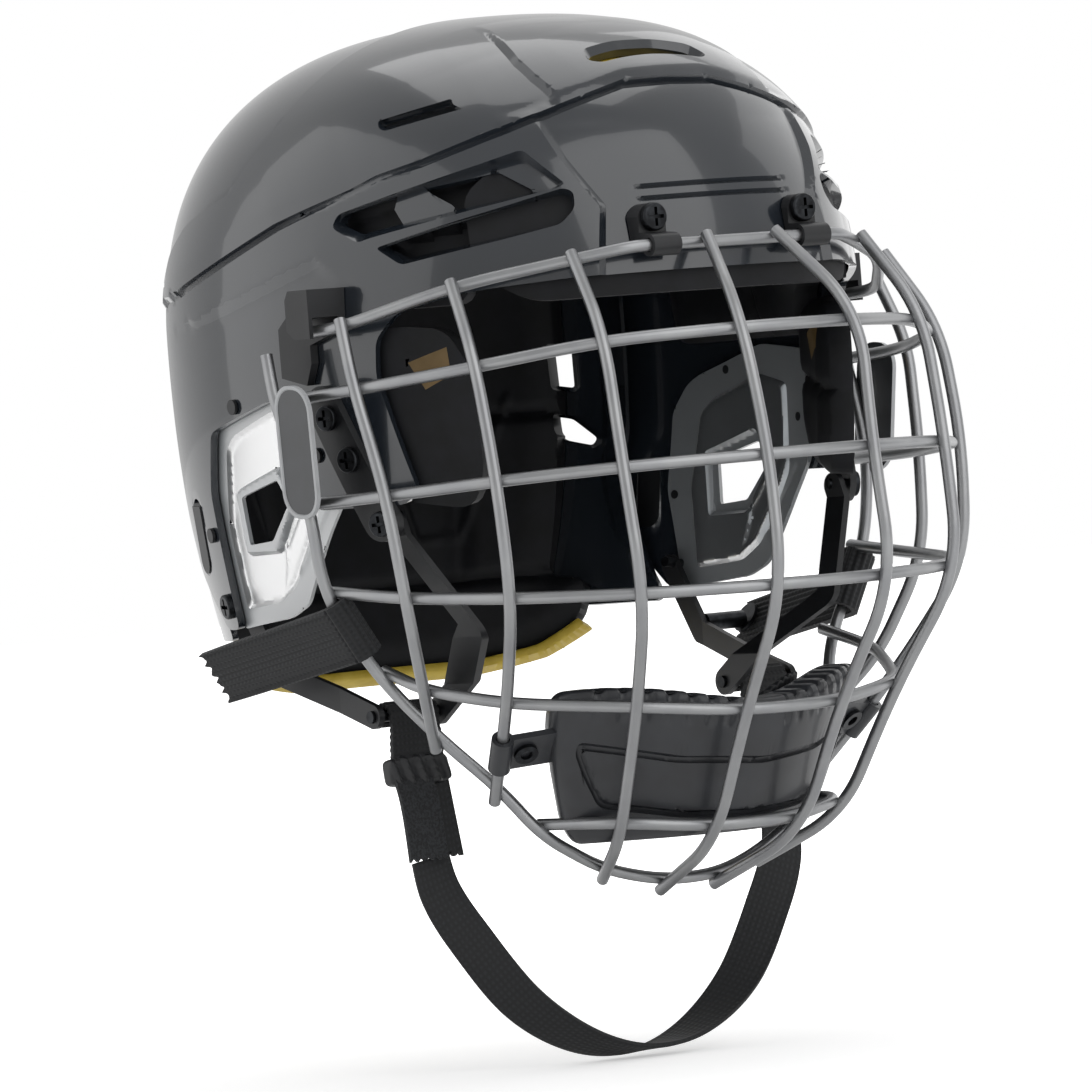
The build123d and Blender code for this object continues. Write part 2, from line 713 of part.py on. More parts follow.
# Ear loops: a front arm and a rear arm that meet at a bar below the ear
front_arm_share = [(-0.104, -0.37), (-0.16, -0.55), (0.008, -0.685)]
rear_arm_share = [(0.266, -0.49), (0.208, -0.605), (0.008, -0.685)]
front_arm_face_share = [(-0.343, -0.56), (-0.283, -0.64), (-0.283, -0.75)]
rear_arm_top_share = [(-0.421, 0.32), (-0.421, 0.2), (-0.407, 0.08), (-0.407, -0.04)]
inner_arm_x = -front_arm_face_share[-1][0] * shell_width
outer_arm_x = -rear_arm_top_share[-1][0] * shell_width
bar_plane = Plane(origin=(-outer_arm_x - arm_thickness, strap_pivot_y, strap_pivot_z), x_dir=(0, 1, 0),
                  z_dir=(1, 0, 0))
bar_length = outer_arm_x - inner_arm_x + arm_thickness * 2
bar_hole = axis_cylinder(bar_plane, loop_bar_dia + screw_gap, -bar_length, bar_length * 3)
face_points = [(-arm_head_x, arm_head_place[1] + arm_width), (-arm_head_x, arm_head_place[1] - arm_width / 2)]
face_points += front_points(front_arm_face_share)
with BuildPart() as ear_loop_front_arm:
    add(stroke(Plane.YZ.offset(-shell_width / 2), side_points(front_arm_share), arm_width, shell_width / 2))
    add(stroke(Plane.XZ, face_points, arm_thickness, shell_length), mode=Mode.INTERSECT)
    add(bar_hole, mode=Mode.SUBTRACT)
    add(arm_head_hole, mode=Mode.SUBTRACT)
save_pair(ear_loop_front_arm.part, "ear_loop_front_arm")
rear_seat = side_seat(rear_screw_place[0], rear_screw_place[1], 0)
with BuildPart() as ear_loop_rear_arm:
    add(stroke(Plane.YZ.offset(-shell_width / 2), side_points(rear_arm_share), rear_arm_width, shell_width / 2))
    add(stroke(Plane.XY, top_points(rear_arm_top_share), arm_thickness, shell_height), mode=Mode.INTERSECT)
    add(bar_hole, mode=Mode.SUBTRACT)
    add(axis_cylinder(rear_seat, anchor_screw_dia + screw_gap * 2, -shell_wall * 5, shell_wall * 6),
        mode=Mode.SUBTRACT)
save_pair(ear_loop_rear_arm.part, "ear_loop_rear_arm")
with BuildPart() as right_rear_screw:
    add(cross_head(rear_seat.offset(screw_gap), anchor_head_dia, anchor_head_height, anchor_screw_dia,
                   rear_screw_length))
with BuildPart() as rear_arm_screws:
    add(right_rear_screw.part)
    add(mirrored(right_rear_screw.part))
save(rear_arm_screws.part, "rear_arm_screws")
with BuildPart() as right_bar:
    add(axis_cylinder(bar_plane, loop_bar_dia, 0, bar_length))
with BuildPart() as loop_bars:
    add(right_bar.part)
    add(mirrored(right_bar.part))
save(loop_bars.part, "loop_bars")

# Chin strap, drawn in a frame that leans forward from the bars
lean = radians(strap_lean)
strap_frame = Plane(origin=(0, strap_pivot_y, strap_pivot_z), x_dir=(0, cos(lean), -sin(lean)), z_dir=(1, 0, 0))


def strap_block(depth, top, bottom, width):
    """Right-hand block of the chin strap, from a level below the bar to a lower one"""
    with BuildPart() as block:
        with BuildSketch(strap_frame.offset(-strap_half_width - width / 2)):
            with Locations((0, -(top + bottom) / 2)):
                RectangleRounded(depth, bottom - top, strap_corner)
        extrude(amount=width)
    return block.part


with BuildPart() as strap_tab:
    with BuildSketch(strap_frame.offset(-strap_half_width - tab_width / 2)):
        Circle(loop_bar_dia / 2 + pin_gap + tab_thickness)
        with Locations((0, -tab_drop / 2)):
            Rectangle(tab_thickness * 2 + pin_gap, tab_drop)
        Circle(loop_bar_dia / 2 + pin_gap, mode=Mode.SUBTRACT)
        for k in range(tab_grooves):
            with Locations((-tab_thickness - pin_gap, -tab_drop * (k + 3) / (tab_grooves + 3))):
                Circle(tab_groove_dia / 2, mode=Mode.SUBTRACT)
    extrude(amount=tab_width)
save_pair(strap_tab.part, "strap_tab")
keeper_top = tab_drop - sewn_overlap
keeper_bottom = keeper_top + keeper_height
wrap_top = keeper_bottom - sewn_overlap
wrap_bottom = wrap_top + wrap_height
with BuildPart() as strap_keepers:
    add(strap_block(keeper_thickness, keeper_top, keeper_bottom, keeper_width))
    add(mirrored(strap_block(keeper_thickness, keeper_top, keeper_bottom, keeper_width)))
save(strap_keepers.part, "strap_keepers")
with BuildPart() as strap_wraps:
    add(strap_block(wrap_thickness, wrap_top, wrap_bottom, wrap_width))
    add(mirrored(strap_block(wrap_thickness, wrap_top, wrap_bottom, wrap_width)))
save(strap_wraps.part, "strap_wraps")

# Webbing: a strip that twists half a turn on its way under the chin
webbing_share = [(-0.345, 0), (-0.336, -0.06), (-0.298, -0.135), (-0.214, -0.255),
    (-0.11, -0.33), (0, -0.355)]
strap_up = Vector(0, sin(lean), cos(lean))
strap_back = Vector(0, cos(lean), -sin(lean))
half_curve = [Vector(x, strap_pivot_y, strap_pivot_z) + strap_up * (z - wrap_bottom + sewn_overlap)
              for x, z in front_points(webbing_share)]
whole_curve = half_curve + [Vector(-p.X, p.Y, p.Z) for p in reversed(half_curve[:-1])]
with BuildLine() as webbing_line:
    Spline(*whole_curve, tangents=[-strap_up, strap_up])
with BuildPart() as chin_webbing:
    for k in range(webbing_sections + 1):
        share = k / webbing_sections
        along = (webbing_line.line % share).normalized()
        across = strap_back.cross(along).normalized()
        twist = pi * share
        wide = across * cos(twist) + strap_back * sin(twist)
        with BuildSketch(Plane(origin=webbing_line.line @ share, x_dir=wide, z_dir=along)):
            Rectangle(webbing_width, webbing_thickness)
    loft(ruled=True)
save(chin_webbing.part, "chin_webbing")


# Cage wires
cage_middle = Vector(0, cage_middle_share[0] * cage_depth, cage_middle_share[1] * cage_height)
cross_share = [
    [(0.244, -0.639, 0.037), (0.366, -0.454, 0.008), (0.457, -0.228, -0.036),
    (0.458, -0.09, -0.043)],
    [(0.093, -0.909, -0.088), (0.265, -0.78, -0.095), (0.389, -0.575, -0.117),
    (0.467, -0.289, -0.137), (0.492, -0.014, -0.145)],
    [(0.089, -0.964, -0.286), (0.269, -0.833, -0.289), (0.391, -0.63, -0.296),
    (0.452, -0.341, -0.306), (0.481, -0.086, -0.31)],
    [(0.091, -0.967, -0.488), (0.26, -0.842, -0.485), (0.378, -0.617, -0.478),
    (0.434, -0.349, -0.468), (0.46, -0.09, -0.454)],
    [(0.08, -0.791, -0.68), (0.22, -0.696, -0.663), (0.33, -0.457, -0.643),
    (0.384, -0.273, -0.616), (0.39, -0.107, -0.59)],
    [(0.071, -0.611, -0.86), (0.185, -0.517, -0.846), (0.227, -0.311, -0.85)]]
rim_share = [(0.492, 0.007, -0.076), (0.492, -0.014, -0.145), (0.481, -0.086, -0.31),
    (0.46, -0.09, -0.454), (0.39, -0.107, -0.59), (0.333, -0.186, -0.69),
    (0.275, -0.264, -0.776), (0.227, -0.311, -0.85), (0.133, -0.321, -0.913),
    (0.046, -0.344, -0.939)]
upright_top_share = [(0.057, -0.729, 0.051), (0.244, -0.639, 0.037), (0.366, -0.454, 0.008),
    (0.457, -0.228, -0.036)]
upright_foot_share = [(0.046, -0.344, -0.939), (0.133, -0.321, -0.913), (0.275, -0.264, -0.776),
    (0.333, -0.186, -0.69)]


def cage_point(shares, lift):
    """Place on the cage, moved away from the middle of the cage by a lift"""
    point = Vector(shares[0] * cage_width, shares[1] * cage_depth, shares[2] * cage_height)
    return point + (point - cage_middle).normalized() * lift


def bent_corners(nodes, fixed):
    """Corners and bend radii of a wire whose bends pass through its nodes, apart from fixed ones"""
    corners = list(nodes)
    radii = []
    for trial in range(bend_trials):
        moved = list(nodes)
        radii = []
        for k in range(1, len(nodes) - 1):
            before = corners[k - 1] - corners[k]
            after = corners[k + 1] - corners[k]
            half_turn = (pi - radians(before.get_angle(after))) / 2
            if k in fixed:
                radii.append(hinge_bend)
                continue
            radius = min(before.length, after.length) * bend_run_share / tan(half_turn)
            radii.append(radius)
            inward = (before.normalized() + after.normalized()).normalized()
            moved[k] = nodes[k] - inward * (radius / cos(half_turn) - radius)
        corners = moved
    return corners, radii


def wire(nodes, name, fixed=(), tails=(0, 0)):
    """Round wire bent through nodes, run on past its ends by the tails"""
    corners, radii = bent_corners(nodes, fixed)
    corners[0] = corners[0] + (corners[0] - corners[1]).normalized() * tails[0]
    corners[-1] = corners[-1] + (corners[-1] - corners[-2]).normalized() * tails[1]
    with BuildPart() as bent:
        with BuildLine() as path:
            FilletPolyline(*corners, radius=radii)
        with BuildSketch(Plane(origin=path.line @ 0, z_dir=path.line % 0)):
            Circle(wire_dia / 2)
        sweep()
    save(bent.part, name)


def both_sides(right_nodes):
    """Nodes of a wire that runs across the cage, from its left-hand half"""
    return [Vector(-p.X, p.Y, p.Z) for p in reversed(right_nodes)] + right_nodes


sink = wire_dia / 2 - weld_depth / 2
half_top = [cage_point(shares, -sink) for shares in cross_share[0]]
half_top.insert(0, Vector(hinge_straight, hinge_y, hinge_z))
wire(both_sides(half_top), "cage_cross_wire_1", fixed=(len(half_top) - 1, len(half_top)))
for row in range(1, len(cross_share)):
    half = [cage_point(shares, -sink) for shares in cross_share[row][:-1]]
    half.append(cage_point(cross_share[row][-1], -sink - sink))
    wire(both_sides(half), f"cage_cross_wire_{row + 1}", tails=(wire_tail, wire_tail))
rim_half = [cage_point(shares, 0) for shares in rim_share]
wire([Vector(-p.X, p.Y, p.Z) for p in rim_half] + rim_half[::-1], "cage_rim_wire")
upright_rows = (6, 6, 5, 5)
upright_corners = []
for column, rows in enumerate(upright_rows):
    nodes = [cage_point(upright_top_share[column], sink)]
    for row in range(1, rows):
        nodes.append(cage_point(cross_share[row][column], sink))
    nodes.append(cage_point(upright_foot_share[column], sink + sink))
    left_nodes = nodes
    right_nodes = [Vector(-p.X, p.Y, p.Z) for p in nodes]
    wire(right_nodes, f"cage_upright_{column + 1}_right", tails=(0, wire_tail))
    wire(left_nodes, f"cage_upright_{column + 1}_left", tails=(0, wire_tail))
    upright_corners.append(bent_corners(right_nodes, ())[0])


def crescent(front_arc, back_arc, level):
    """Level crescent between two arcs, each given by a corner and a middle"""
    with BuildSketch(Plane.XY.offset(level)) as face:
        with BuildLine():
            ThreePointArc((-front_arc[0], front_arc[1]), (0, front_arc[2]), (front_arc[0], front_arc[1]))
            Line((front_arc[0], front_arc[1]), (back_arc[0], back_arc[1]))
            ThreePointArc((back_arc[0], back_arc[1]), (0, back_arc[2]), (-back_arc[0], back_arc[1]))
            Line((-back_arc[0], back_arc[1]), (-front_arc[0], front_arc[1]))
        make_face()
    return face.sketch


def cup_body(front_inset, back_inset):
    """Chin cup form with its front and back faces moved in"""
    with BuildPart() as body:
        for (front_arc, back_arc), level in zip(cup_arcs, (cup_top, cup_bottom)):
            add(crescent((front_arc[0] - front_inset / 2, front_arc[1] + front_inset, front_arc[2] + front_inset),
                         (back_arc[0] + back_inset / 2, back_arc[1] - back_inset, back_arc[2] - back_inset),
                         level))
        loft()
    return body.part


# Chin cup with a recessed front and grooves along its top, and its foam liner
cup_share = [(0.275, -0.471, -0.743), (0.242, -0.357, -0.586), (0.192, -0.329, -0.557),
    (0.167, -0.257, -0.414)]
cup_rows = [(a * cage_width, b * cage_depth, c * cage_depth) for a, b, c in cup_share]
cup_arcs = ((cup_rows[0], cup_rows[1]), (cup_rows[2], cup_rows[3]))
panel_share = [(-0.214, -0.725), (0.214, -0.725), (0.162, -0.86), (-0.162, -0.86)]
with BuildPart() as cup_recesses:
    add(front_prism(front_points(panel_share)))
    for row in range(cup_grooves):
        with BuildSketch(Plane.XY.offset(cup_top - cup_groove_pitch * (row + 1))):
            Rectangle(shell_width, shell_length * 2)
        extrude(amount=cup_groove_pitch / 3)
    add(cup_body(cup_recess, 0), mode=Mode.SUBTRACT)
with BuildPart() as chin_cup:
    add(cup_body(0, 0))
    add(cup_recesses.part, mode=Mode.SUBTRACT)
save(chin_cup.part, "chin_cup")
with BuildPart() as chin_cup_liner:
    for (front_arc, back_arc), level in zip(cup_arcs, (cup_top - seat_gap, cup_bottom + seat_gap)):
        outer_arc = (back_arc[0] - cup_liner_thickness, back_arc[1], back_arc[2] + seat_gap)
        add(crescent(outer_arc, (outer_arc[0] - seat_gap, back_arc[1] + seat_gap * 2,
                                 back_arc[2] + cup_liner_thickness), level))
    loft()
    add(cup_body(seat_gap, seat_gap), mode=Mode.SUBTRACT)
save(chin_cup_liner.part, "chin_cup_liner")

# Chin cup tabs, each looped round an upright wire, with a snap on its outer face
low_corner = upright_corners[2][-2]
low_end = upright_corners[2][-1]
grip = low_corner + (low_end - low_corner) * cup_grip_share
grip_way = (low_end - low_corner).normalized()
cup_corner_share = [(0.225, -0.407, -0.407)]
reach_way = Vector(-cup_corner_share[0][0] * cage_width, cup_corner_share[0][1] * cage_depth, grip.Z) - grip
reach_length = reach_way.length
grip_plane = Plane(origin=grip, x_dir=reach_way - grip_way * reach_way.dot(grip_way), z_dir=grip_way)
with BuildPart() as chin_cup_tab:
    with BuildSketch(grip_plane.offset(-cup_tab_width / 2)):
        Circle(wire_dia / 2 + pin_gap + clip_wall)
        with Locations((reach_length / 2, 0)):
            Rectangle(reach_length, cup_tab_thickness)
        Circle(wire_dia / 2 + pin_gap, mode=Mode.SUBTRACT)
    extrude(amount=cup_tab_width)
save_pair(chin_cup_tab.part, "chin_cup_tab")
tab_out = grip_plane.y_dir if grip_plane.y_dir.Y < 0 else -grip_plane.y_dir
snap_seat = Plane(origin=grip + grip_plane.x_dir * snap_reach + tab_out * (cup_tab_thickness / 2 + screw_gap),
                  x_dir=grip_plane.x_dir, z_dir=tab_out)
with BuildPart() as right_snap:
    with BuildSketch(snap_seat):
        Circle(snap_dia / 2)
        Circle(snap_dia / 4, mode=Mode.SUBTRACT)
    extrude(amount=snap_height)
with BuildPart() as chin_cup_snaps:
    add(right_snap.part)
    add(mirrored(right_snap.part))
save(chin_cup_snaps.part, "chin_cup_snaps")

# Side straps, each looped round the rim wire and running back to a stud on the ear loop
rim_corners = bent_corners([cage_point(shares, 0) for shares in rim_share], ())[0]
strap_run = rim_corners[3] - rim_corners[4]
strap_root = rim_corners[3] - strap_run * side_strap_root_share
strap_root = Vector(-strap_root.X, strap_root.Y, strap_root.Z)
run_way = Vector(-strap_run.X, strap_run.Y, strap_run.Z).normalized()
side_strap_share = [(-0.096, -0.497), (-0.096, -0.565), (0, -0.585), (0.208, -0.645),
    (0.22, -0.62), (0.24, -0.605), (0.232, -0.58), (0.248, -0.56), (0, -0.497)]
strap_tip = side_points([(0.232, -0.6)])[0]
strap_way = Vector(strap_root.X, strap_tip[0], strap_tip[1]) - strap_root
strap_plane = Plane(origin=strap_root, x_dir=strap_way - run_way * strap_way.dot(run_way), z_dir=run_way)
strap_side = 1 if strap_plane.y_dir.X < 0 else -1
strap_bore = wire_dia / 2 + pin_gap * 3
strap_depth = strap_bore + side_strap_thickness / 2
with BuildPart() as side_strap:
    with BuildSketch(strap_plane.offset(-side_strap_width)):
        Circle(strap_bore + side_strap_thickness)
        with Locations((strap_way.length / 2, strap_side * strap_depth)):
            Rectangle(strap_way.length * 1.1, side_strap_thickness)
        Circle(strap_bore, mode=Mode.SUBTRACT)
    extrude(amount=side_strap_width * 2)
    add(right_prism(side_points(side_strap_share)), mode=Mode.INTERSECT)
save_pair(side_strap.part, "side_strap")

# Studs on the rear arms that the side straps snap to
stud_place = side_points([(0.206, -0.59)])[0]
outward = strap_plane.y_dir * strap_side
stud_depth = strap_depth - side_strap_thickness / 2 - pin_gap
stud_top = strap_root + outward * stud_depth
stud_x = stud_top.X - (outward.Y * (stud_place[0] - stud_top.Y) + outward.Z * (stud_place[1] - stud_top.Z)) / outward.X
stud_flange_seat = Plane(origin=(stud_x, stud_place[0], stud_place[1]), x_dir=run_way, z_dir=outward)
arm_outer_x = rear_arm_top_share[1][0] * shell_width - arm_thickness / 2 - screw_gap
stud_foot = Plane(origin=(arm_outer_x, stud_place[0], stud_place[1]), x_dir=(0, -1, 0), z_dir=(-1, 0, 0))
with BuildPart() as right_stud:
    add(axis_cylinder(stud_foot, stud_dia, 0, arm_outer_x - stud_x - stud_flange_height * 2))
    add(axis_cylinder(stud_flange_seat, stud_flange_dia, -stud_flange_height, stud_flange_height))
    add(axis_cylinder(stud_foot, stud_dia, 0, stud_flange_height))
with BuildPart() as snap_studs:
    add(right_stud.part)
    add(mirrored(right_stud.part))
save(snap_studs.part, "snap_studs")

# Bare label plates on the rim wire
plate_run = (rim_corners[1] - rim_corners[2]).normalized()
plate_normal = Vector(plate_run.Z, 0, -plate_run.X).normalized()
plate_spot = rim_corners[1] + (rim_corners[2] - rim_corners[1]) * plate_spot_share
plate_place = side_points([(-0.058, -0.245)])[0]
plate_shift = Vector(0, plate_place[0] - plate_spot.Y, 0)
plate_seat = Plane(origin=plate_spot + plate_normal * (wire_dia / 2 - plate_embed) + plate_shift,
                   x_dir=(0, 1, 0), z_dir=plate_normal)
with BuildPart() as label_plate:
    with BuildSketch(plate_seat):
        with Locations(Location((0, 0, 0), (0, 0, plate_tilt))):
            RectangleRounded(plate_width, plate_length, plate_corner)
    extrude(amount=plate_thickness)
save_pair(mirrored(label_plate.part), "label_plate")

# Size lock tabs: levers that tip outwards about a pin in the shell
with BuildPart() as lock_tab:
    with BuildSketch(lock_seat.offset(tab_proud - shell_wall)):
        SlotOverall(tab_slot_length - tab_clear * 2, tab_slot_width - tab_clear * 2, rotation=90)
        with Locations((0, tab_pin_rise + tab_slot_length / 2)):
            Rectangle(tab_slot_width, tab_slot_length, mode=Mode.SUBTRACT)
    extrude(amount=shell_wall)
    with BuildSketch(lock_pin_plane):
        Circle(tab_pin_depth - tab_proud / 3)
    extrude(amount=tab_slot_width / 2 - tab_clear * 2, both=True)
    with BuildSketch(lock_pin_plane):
        Circle(tab_pin_dia / 2)
    extrude(amount=tab_pin_length / 2, both=True)
save_pair(lock_tab.part, "lock_tab")
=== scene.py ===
# %% [markdown]
# Ice hockey helmet with a wire face cage.
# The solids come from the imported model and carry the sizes, the bodies and the joints. This lesson
# gives them their real surfaces: a smooth glossy shell, brushed wires, foam, clear plastic and webbing.

# %% Load the frame
import bpy
import bmesh
import json
from math import cos, sin, tan, pi, radians, copysign, hypot
from mathutils import Matrix, Vector


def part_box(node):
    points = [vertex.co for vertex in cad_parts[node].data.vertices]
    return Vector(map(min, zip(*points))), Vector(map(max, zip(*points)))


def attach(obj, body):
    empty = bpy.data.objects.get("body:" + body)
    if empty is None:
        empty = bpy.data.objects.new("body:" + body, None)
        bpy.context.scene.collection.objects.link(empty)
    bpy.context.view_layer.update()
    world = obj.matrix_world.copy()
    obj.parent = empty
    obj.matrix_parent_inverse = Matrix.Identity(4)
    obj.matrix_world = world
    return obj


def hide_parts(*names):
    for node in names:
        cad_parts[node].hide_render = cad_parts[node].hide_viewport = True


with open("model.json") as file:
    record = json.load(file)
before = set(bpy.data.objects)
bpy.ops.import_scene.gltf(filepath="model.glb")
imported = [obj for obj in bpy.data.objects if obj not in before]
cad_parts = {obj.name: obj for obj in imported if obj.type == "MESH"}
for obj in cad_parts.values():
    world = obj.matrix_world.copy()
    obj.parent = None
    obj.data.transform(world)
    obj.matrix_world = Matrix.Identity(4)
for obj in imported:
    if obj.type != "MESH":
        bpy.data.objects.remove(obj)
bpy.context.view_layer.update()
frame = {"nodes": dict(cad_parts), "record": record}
nodes = frame["nodes"]
print("nodes loaded:", len(nodes))

# %% [markdown]
# The camera repeats a long studio lens that looks at the wearer's right front quarter, almost level.
# Its place and turn were solved from matching points on the cage and the shell.

# %% Place the camera
camera_data = bpy.data.cameras.new("studio_camera")
camera_data.sensor_width = 36.0
camera_data.lens = 296.703
camera_data.clip_end = 20.0
camera = bpy.data.objects.new("studio_camera", camera_data)
bpy.context.scene.collection.objects.link(camera)
camera_right = Vector((0.80587262, -0.58698073, -0.07760762))
camera_up = Vector((0.07183339, -0.0331795, 0.99686463))
camera_back = Vector((-0.58771531, -0.80892073, 0.01542637))
turn = Matrix((camera_right, camera_up, camera_back)).transposed().to_4x4()
camera.matrix_world = Matrix.Translation((-1.77211776, -2.42188629, -0.03985113)) @ turn
bpy.context.scene.camera = camera
bpy.context.scene.view_settings.view_transform = "Standard"
print("lens:", round(camera_data.lens, 1), "mm")

# %% [markdown]
# Every colour is written as the sRGB value that a picture shows, and one function turns it into the
# linear light that the shader works with. A finish is then one call: a base colour and a roughness, two
# close shades that vary over some millimetres, and a fine grain.

# %% Helpers for colours, nodes and finishes
MM = 0.001


def colour(code):
    """Linear colour from an sRGB hex code"""
    channels = [int(code[k:k + 2], 16) / 255 for k in (1, 3, 5)]
    return [c / 12.92 if c <= 0.04045 else ((c + 0.055) / 1.055) ** 2.4 for c in channels] + [1.0]


def add_node(tree, kind, settings=None, inputs=None):
    """Node of a kind, with its settings, and its inputs as values or as sockets to link"""
    made = tree.nodes.new(kind)
    for name, value in (settings or {}).items():
        setattr(made, name, value)
    for name, value in (inputs or {}).items():
        if isinstance(value, bpy.types.NodeSocket):
            tree.links.new(value, made.inputs[name])
        else:
            made.inputs[name].default_value = value
    return made


def grain(tree, shader, where, size_mm, depth_mm, strength=0.5, detail=3.0):
    """Fine moulded grain of a real size, as bump"""
    noise = add_node(tree, "ShaderNodeTexNoise", None,
                     {"Vector": where, "Scale": 1 / (size_mm * MM), "Detail": detail})
    bump = add_node(tree, "ShaderNodeBump", None,
                    {"Height": noise.outputs["Fac"], "Distance": depth_mm * MM, "Strength": strength})
    tree.links.new(bump.outputs["Normal"], shader.inputs["Normal"])


def shaded(tree, shader, where, base, other, size_mm, low=0.35, high=0.65):
    """Slow change of colour between two close shades"""
    noise = add_node(tree, "ShaderNodeTexNoise", None,
                     {"Vector": where, "Scale": 1 / (size_mm * MM), "Detail": 2.0})
    ramp = add_node(tree, "ShaderNodeValToRGB", None, {"Fac": noise.outputs["Fac"]})
    for element, position, shade in zip(ramp.color_ramp.elements, (low, high), (base, other)):
        element.position, element.color = position, colour(shade)
    tree.links.new(ramp.outputs["Color"], shader.inputs["Base Color"])


SHADER_INPUTS = {"metallic": "Metallic", "coat": "Coat Weight", "ior": "IOR", "sheen": "Sheen Weight",
                 "specular": "Specular IOR Level", "transmission": "Transmission Weight"}
COAT_ROUGHNESS, PLASTIC_IOR, POLYCARBONATE_IOR = 0.05, 1.5, 1.58


def finish(name, base, roughness, shades=None, grains=None, **more):
    """Material with its shader values, its two shades and its grain"""
    material = bpy.data.materials.new(name)
    material.use_nodes = True
    shader = material.node_tree.nodes["Principled BSDF"]
    values = {"Base Color": colour(base), "Roughness": roughness, "Coat Roughness": COAT_ROUGHNESS,
              "IOR": PLASTIC_IOR}
    values.update((SHADER_INPUTS[key], value) for key, value in more.items())
    for key, value in values.items():
        shader.inputs[key].default_value = value
    where = add_node(material.node_tree, "ShaderNodeTexCoord").outputs["Object"]
    if shades:
        shaded(material.node_tree, shader, where, *shades)
    if grains:
        grain(material.node_tree, shader, where, *grains)
    return material


# %% [markdown]
# The shells are injection-moulded plastic, black with a cool cast, under a clear gloss coat. The broad
# lamps show in the coat as pale bands with sharp edges, and the rest stays dark.

# %% Shell finish
shell_gloss = finish("black_moulded_shell", "#1E232A", 0.2, ("#1F242A", "#21262D", 30.0), (2.4, 0.004, 0.2),
                     coat=1.0)

# %% [markdown]
# Small fittings, ear loops and hooks are moulded black nylon: dark, with a broad soft sheen and a fine
# grain from the mould.

# %% Finish of the black fittings
black_nylon = finish("black_moulded_nylon", "#17181B", 0.42, ("#151618", "#1B1C1F", 12.0), (0.7, 0.03, 0.4))

# %% [markdown]
# The liner is a closed-cell foam, vinyl nitrile, with a skin that is smooth to the touch and matt to
# the eye. Its yellow edge strip and the amber patches at the temples are the same foam in other colours.

# %% Foam finishes
foam_skin = finish("black_vinyl_nitrile_foam", "#111214", 0.62, ("#0F1012", "#15161A", 9.0),
                   (1.1, 0.08, 0.5, 4.0), specular=0.3)
yellow_foam = finish("yellow_foam", "#C9AE3C", 0.55, ("#C2A634", "#D2B848", 8.0), (1.1, 0.06, 0.5, 4.0))
amber_foam = finish("amber_foam", "#6A5430", 0.6, ("#64502C", "#705A36", 8.0), (1.1, 0.06, 0.5, 4.0))

# %% [markdown]
# The cage is welded steel wire under a thin satin plating. Screws, bars and studs are steel, blackened so
# that they hardly shine, with a lighter tone in places.

# %% Wire and hardware finishes
plated_wire = finish("satin_plated_steel_wire", "#9B9C9D", 0.34, ("#97989A", "#A0A1A2", 14.0),
                     (0.5, 0.008, 0.25), metallic=0.9)
blackened_steel = finish("blackened_steel", "#2A2B2D", 0.34, ("#232426", "#35373A", 2.5), (0.5, 0.02, 0.4),
                         metallic=0.9)

# %% [markdown]
# The ear covers are clear polycarbonate with a frosted face: light passes, but what lies behind stays
# blurred. Their raised borders scatter more light.

# %% Clear ear cover finishes
frosted = finish("frosted_polycarbonate", "#8F9396", 0.3, None, (0.8, 0.02, 0.3), ior=POLYCARBONATE_IOR,
                 transmission=0.8)
frosted_rim = finish("frosted_polycarbonate_rim", "#999DA0", 0.4, None, (0.8, 0.02, 0.3),
                     ior=POLYCARBONATE_IOR, transmission=0.35)

# %% [markdown]
# Webbing is woven polyester. Two crossed wave patterns stand for the warp and the weft, drawn a little
# coarser than real so that they show at this distance.

# %% Webbing finish
WAVE_TURN = 6.283
webbing = finish("woven_polyester_webbing", "#17181A", 0.7, sheen=0.06)
tree = webbing.node_tree
shader = tree.nodes["Principled BSDF"]
thread_map = add_node(tree, "ShaderNodeUVMap", {"uv_map": "weave"}).outputs["UV"]
crossing = add_node(tree, "ShaderNodeMath", {"operation": "MULTIPLY"})
for k, (direction, pitch_mm, wobble) in enumerate((("Y", 1.1, 0.4), ("X", 0.9, 0.3))):
    wave = add_node(tree, "ShaderNodeTexWave", {"bands_direction": direction},
                    {"Vector": thread_map, "Scale": 1 / (pitch_mm * MM) / WAVE_TURN, "Distortion": wobble})
    tree.links.new(wave.outputs["Fac"], crossing.inputs[k])
shades = add_node(tree, "ShaderNodeValToRGB", None, {"Fac": crossing.outputs["Value"]})
for element, shade in zip(shades.color_ramp.elements, ("#121315", "#202225")):
    element.color = colour(shade)
tree.links.new(shades.outputs["Color"], shader.inputs["Base Color"])
threads = add_node(tree, "ShaderNodeBump", None,
                   {"Height": crossing.outputs["Value"], "Distance": 0.2 * MM, "Strength": 0.6})
tree.links.new(threads.outputs["Normal"], shader.inputs["Normal"])
hook_tape = finish("hook_and_loop_tape", "#1F2123", 0.9, ("#17181A", "#2A2C2F", 0.9, 0.4, 0.6),
                   (0.8, 0.35, 0.9, 6.0), sheen=0.15)

# %% [markdown]
# The chin cup and the bare label plates are glossy moulded pieces in near-black and dark grey. The
# plates' raised rims are painted pale, a painted highlight along their edge.

# %% Cup and plate finishes
cup_black = finish("black_moulded_cup", "#2B2D30", 0.4, ("#28292C", "#303236", 14.0), (0.9, 0.03, 0.35),
                   coat=0.2)
plate_grey = finish("grey_moulded_plate", "#303236", 0.35, ("#2E3033", "#333539", 10.0), (0.8, 0.02, 0.3),
                    coat=0.3)
# The pale rim finish is a painted highlight: it stands for light caught along the plates' raised rims.
painted_rim_highlight = finish("plate_edge_painted_highlight", "#B4B6B8", 0.4, ("#B0B2B4", "#B8BABC", 10.0), (0.8, 0.02, 0.3))

finishes = {"shell": shell_gloss, "rear_shell": shell_gloss, "fittings": black_nylon, "foam": foam_skin,
            "accent": yellow_foam, "clear": frosted, "wire": plated_wire, "hardware": blackened_steel,
            "webbing": webbing, "plate": plate_grey, "cup": cup_black}
print("finishes:", len(finishes))

